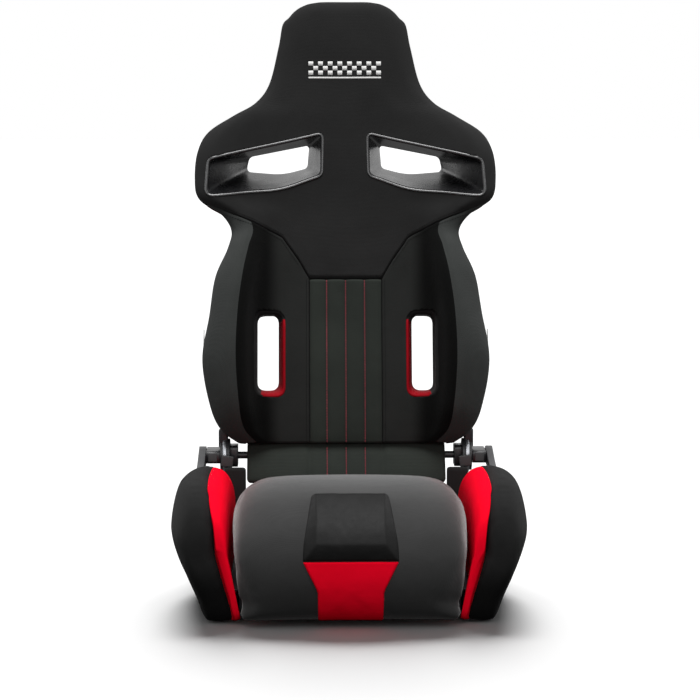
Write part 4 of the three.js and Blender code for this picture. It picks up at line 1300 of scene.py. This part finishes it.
points, faces = [], []
for sheet, sheetFaces in backSheets:
    shift = len(points)
    points += [tuple(p) for p in sheet]
    faces += [tuple(i + shift for i in f) for f in sheetFaces]
coverTree = BVHTree.FromPolygons(points, faces)


def dropOn(x, v):
    return coverTree.ray_cast(Vector((x, v, 200)), Vector((0, 0, -1)))


# Points (x, height) laid on the backrest's covers, lifted towards the sitter.
def onCover(line, lift):
    laid = []
    for x, v in line:
        hit = dropOn(x, v)
        if hit[0] is None:
            continue
        normal = hit[1] if hit[1].z > 0 else -hit[1]
        laid.append(hit[0] + normal * lift)
    return onBack(np.array([tuple(p) for p in laid]))


def straight(a, b, step=3.0):
    a, b = np.array(a, float), np.array(b, float)
    count = max(2, int(np.linalg.norm(b - a) / step))
    return [tuple(a + (b - a) * i / count) for i in range(count + 1)]


def chain(corners, step=3.0):
    line = []
    for a, b in zip(corners, corners[1:]):
        line += straight(a, b, step)[:-1]
    return line + [tuple(corners[-1])]


thread = {"pitch": 4.6, "length": 4.2, "radius": 0.95, "lift": 0.3, "seed": 3,
          "panel": (292, 21), "tongue": (9, -44)}
seam = {"pitch": 4.6, "length": 3.4, "radius": 0.5, "lift": 0.15, "seed": 5, "offset": 5.2, "notch": 292}


def sewRows(name, rows, kind, material):
    values = {"Pitch": kind["pitch"] * mm, "Length": kind["length"] * mm, "Radius": kind["radius"] * mm}
    return alongLines(name, rows, "stitchRow", {**values, "Seed": kind["seed"]}, material, "backrest")


rows = []
for x in (-32, 0, 32):
    for high, low in (thread["panel"], thread["tongue"]):
        rows.append(onCover(straight((x, high), (x, low)), thread["lift"]))
sewRows("fluteStitches", rows, thread, redThread)

seamOffset = seam["offset"]
yokeCorners = np.array(yokeLine[1:-1] + [(205, 408)], float)
rows = []
for sign in (1, -1):
    rows.append(onCover([(sign * x, v + seamOffset) for x, v in chain(yokeCorners.tolist())], seam["lift"]))
    below = [(sign * (x + 2), v - seamOffset) for x, v in chain(yokeCorners[1:].tolist())]
    rows.append(onCover(below, seam["lift"]))
    beside = sign * (61 + seamOffset)
    rows.append(onCover(straight((beside, seam["notch"]), (beside, 21)), seam["lift"]))
rows.append(onCover(straight((-57, 296 + seamOffset), (57, 296 + seamOffset)), seam["lift"]))
sewRows("seamStitches", rows, seam, blackThread)

piping = {"step": 4, "radius": 1.9, "out": 0.8, "proud": 0.6}
rows = []
for sign in (1, -1):
    edge = backSurface(np.linspace(0.25, topRow - 3.2, 170), np.full(170, 7.97 * sign))
    rows.append(onBack(edge + np.array([sign * piping["out"], 0, piping["proud"]])))
alongLines("rimPiping", rows, "roundCord", {"Step": piping["step"] * mm, "Radius": piping["radius"] * mm},
           redPiping, "backrest")

# A plain chequered strip over a bar, in raised satin stitch.
badge = {"half": 62, "low": 647, "high": 671, "columns": 15, "rows": 3, "bar": (640.5, 644), "thick": 1.1}
tileWidth = 2 * badge["half"] / badge["columns"]
tileHeight = (badge["high"] - badge["low"]) / badge["rows"]
tiles = [(-badge["half"], badge["half"], *badge["bar"])]
for row in range(badge["rows"]):
    for column in range(badge["columns"]):
        if (row + column) % 2 == 0:
            left = -badge["half"] + column * tileWidth
            low = badge["low"] + row * tileHeight
            tiles.append((left + 0.1, left + tileWidth - 0.1, low + 0.1, low + tileHeight - 0.1))
badgePoints, badgeFaces = [], []
for left, right, low, high in tiles:
    across = np.linspace(left, right, 3 + int((right - left) / 4))
    outline = []
    for v, lift in ((low, -0.6), (low + 0.3, badge["thick"] * 0.6), ((low + high) / 2, badge["thick"]),
                    (high - 0.3, badge["thick"] * 0.6), (high, -0.6)):
        for x in across:
            outline.append((x, v, dropOn(x, v)[0].z + lift))
    start, wide = len(badgePoints), len(across)
    badgePoints += outline
    for i in range(4):
        for j in range(wide - 1):
            a = start + i * wide + j
            badgeFaces.append((a, a + 1, a + wide + 1, a + wide))
    foot = list(range(start + wide - 1, start - 1, -1))
    badgeFaces.append(tuple(foot + list(range(start + 4 * wide, start + 5 * wide))))
headBadge = piece("headBadge", onBack(badgePoints), badgeFaces, whiteThread, "backrest")
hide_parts("head_patch")
print("stitching made")

# Frame parts that stay, floor and finish.


def paint(material, *names):
    for name in names:
        nodes[name].data.materials.clear()
        nodes[name].data.materials.append(material)


paint(paintedSteel, "front_cross_tube", "rear_cross_tube", "lower_cross_bar", "upper_cross_bar", "head_hoop",
      "back_upright_left", "back_upright_right", "shoulder_wire_left", "shoulder_wire_right", "cross_shaft")
paint(springSteel, "seat_spring_1", "seat_spring_2", "seat_spring_3", "seat_spring_4",
      "lumbar_wire_low", "lumbar_wire_high")

floorMesh = bpy.data.meshes.new("floor")
reach = 40  # metres of floor on each side
floorMesh.from_pydata([(-reach, -reach, 0), (reach, -reach, 0), (reach, reach, 0), (-reach, reach, 0)],
                      [], [(0, 1, 2, 3)])
floor = bpy.data.objects.new("floor", floorMesh)
scene.collection.objects.link(floor)
floorFinish = Finish("floorPaper", 0.9)
floorFinish.surface.inputs["Base Color"].default_value = (*[brightness["floorSeen"]] * 3, 1)
floorFinish.surface.inputs["Specular IOR Level"].default_value = 0.0
dim = floorFinish.add("BsdfDiffuse", {"Color": (*[brightness["floorLit"]] * 3, 1)})
mix = floorFinish.add("MixShader", {0: floorFinish.add("LightPath").outputs["Is Camera Ray"]})
floorFinish.tree.links.new(dim.outputs[0], mix.inputs[1])
floorFinish.tree.links.new(floorFinish.surface.outputs[0], mix.inputs[2])
floorFinish.tree.links.new(mix.outputs[0], floorFinish.tree.nodes["Material Output"].inputs["Surface"])
floorMesh.materials.append(floorFinish.material)


# Keeps a light on one object, or off it.
def lightsOnly(light, thing, state):
    group = bpy.data.collections.new(light.name + "Reach")
    group.objects.link(thing)
    light.light_linking.receiver_collection = group
    group.collection_objects[0].light_linking.link_state = state


# The floor has its own lamp from behind, so that the seat's shadow falls softly forwards.
lightsOnly(backdrop, floor, "INCLUDE")
for light in [overhead, frontLamp] + strips:
    lightsOnly(light, floor, "EXCLUDE")
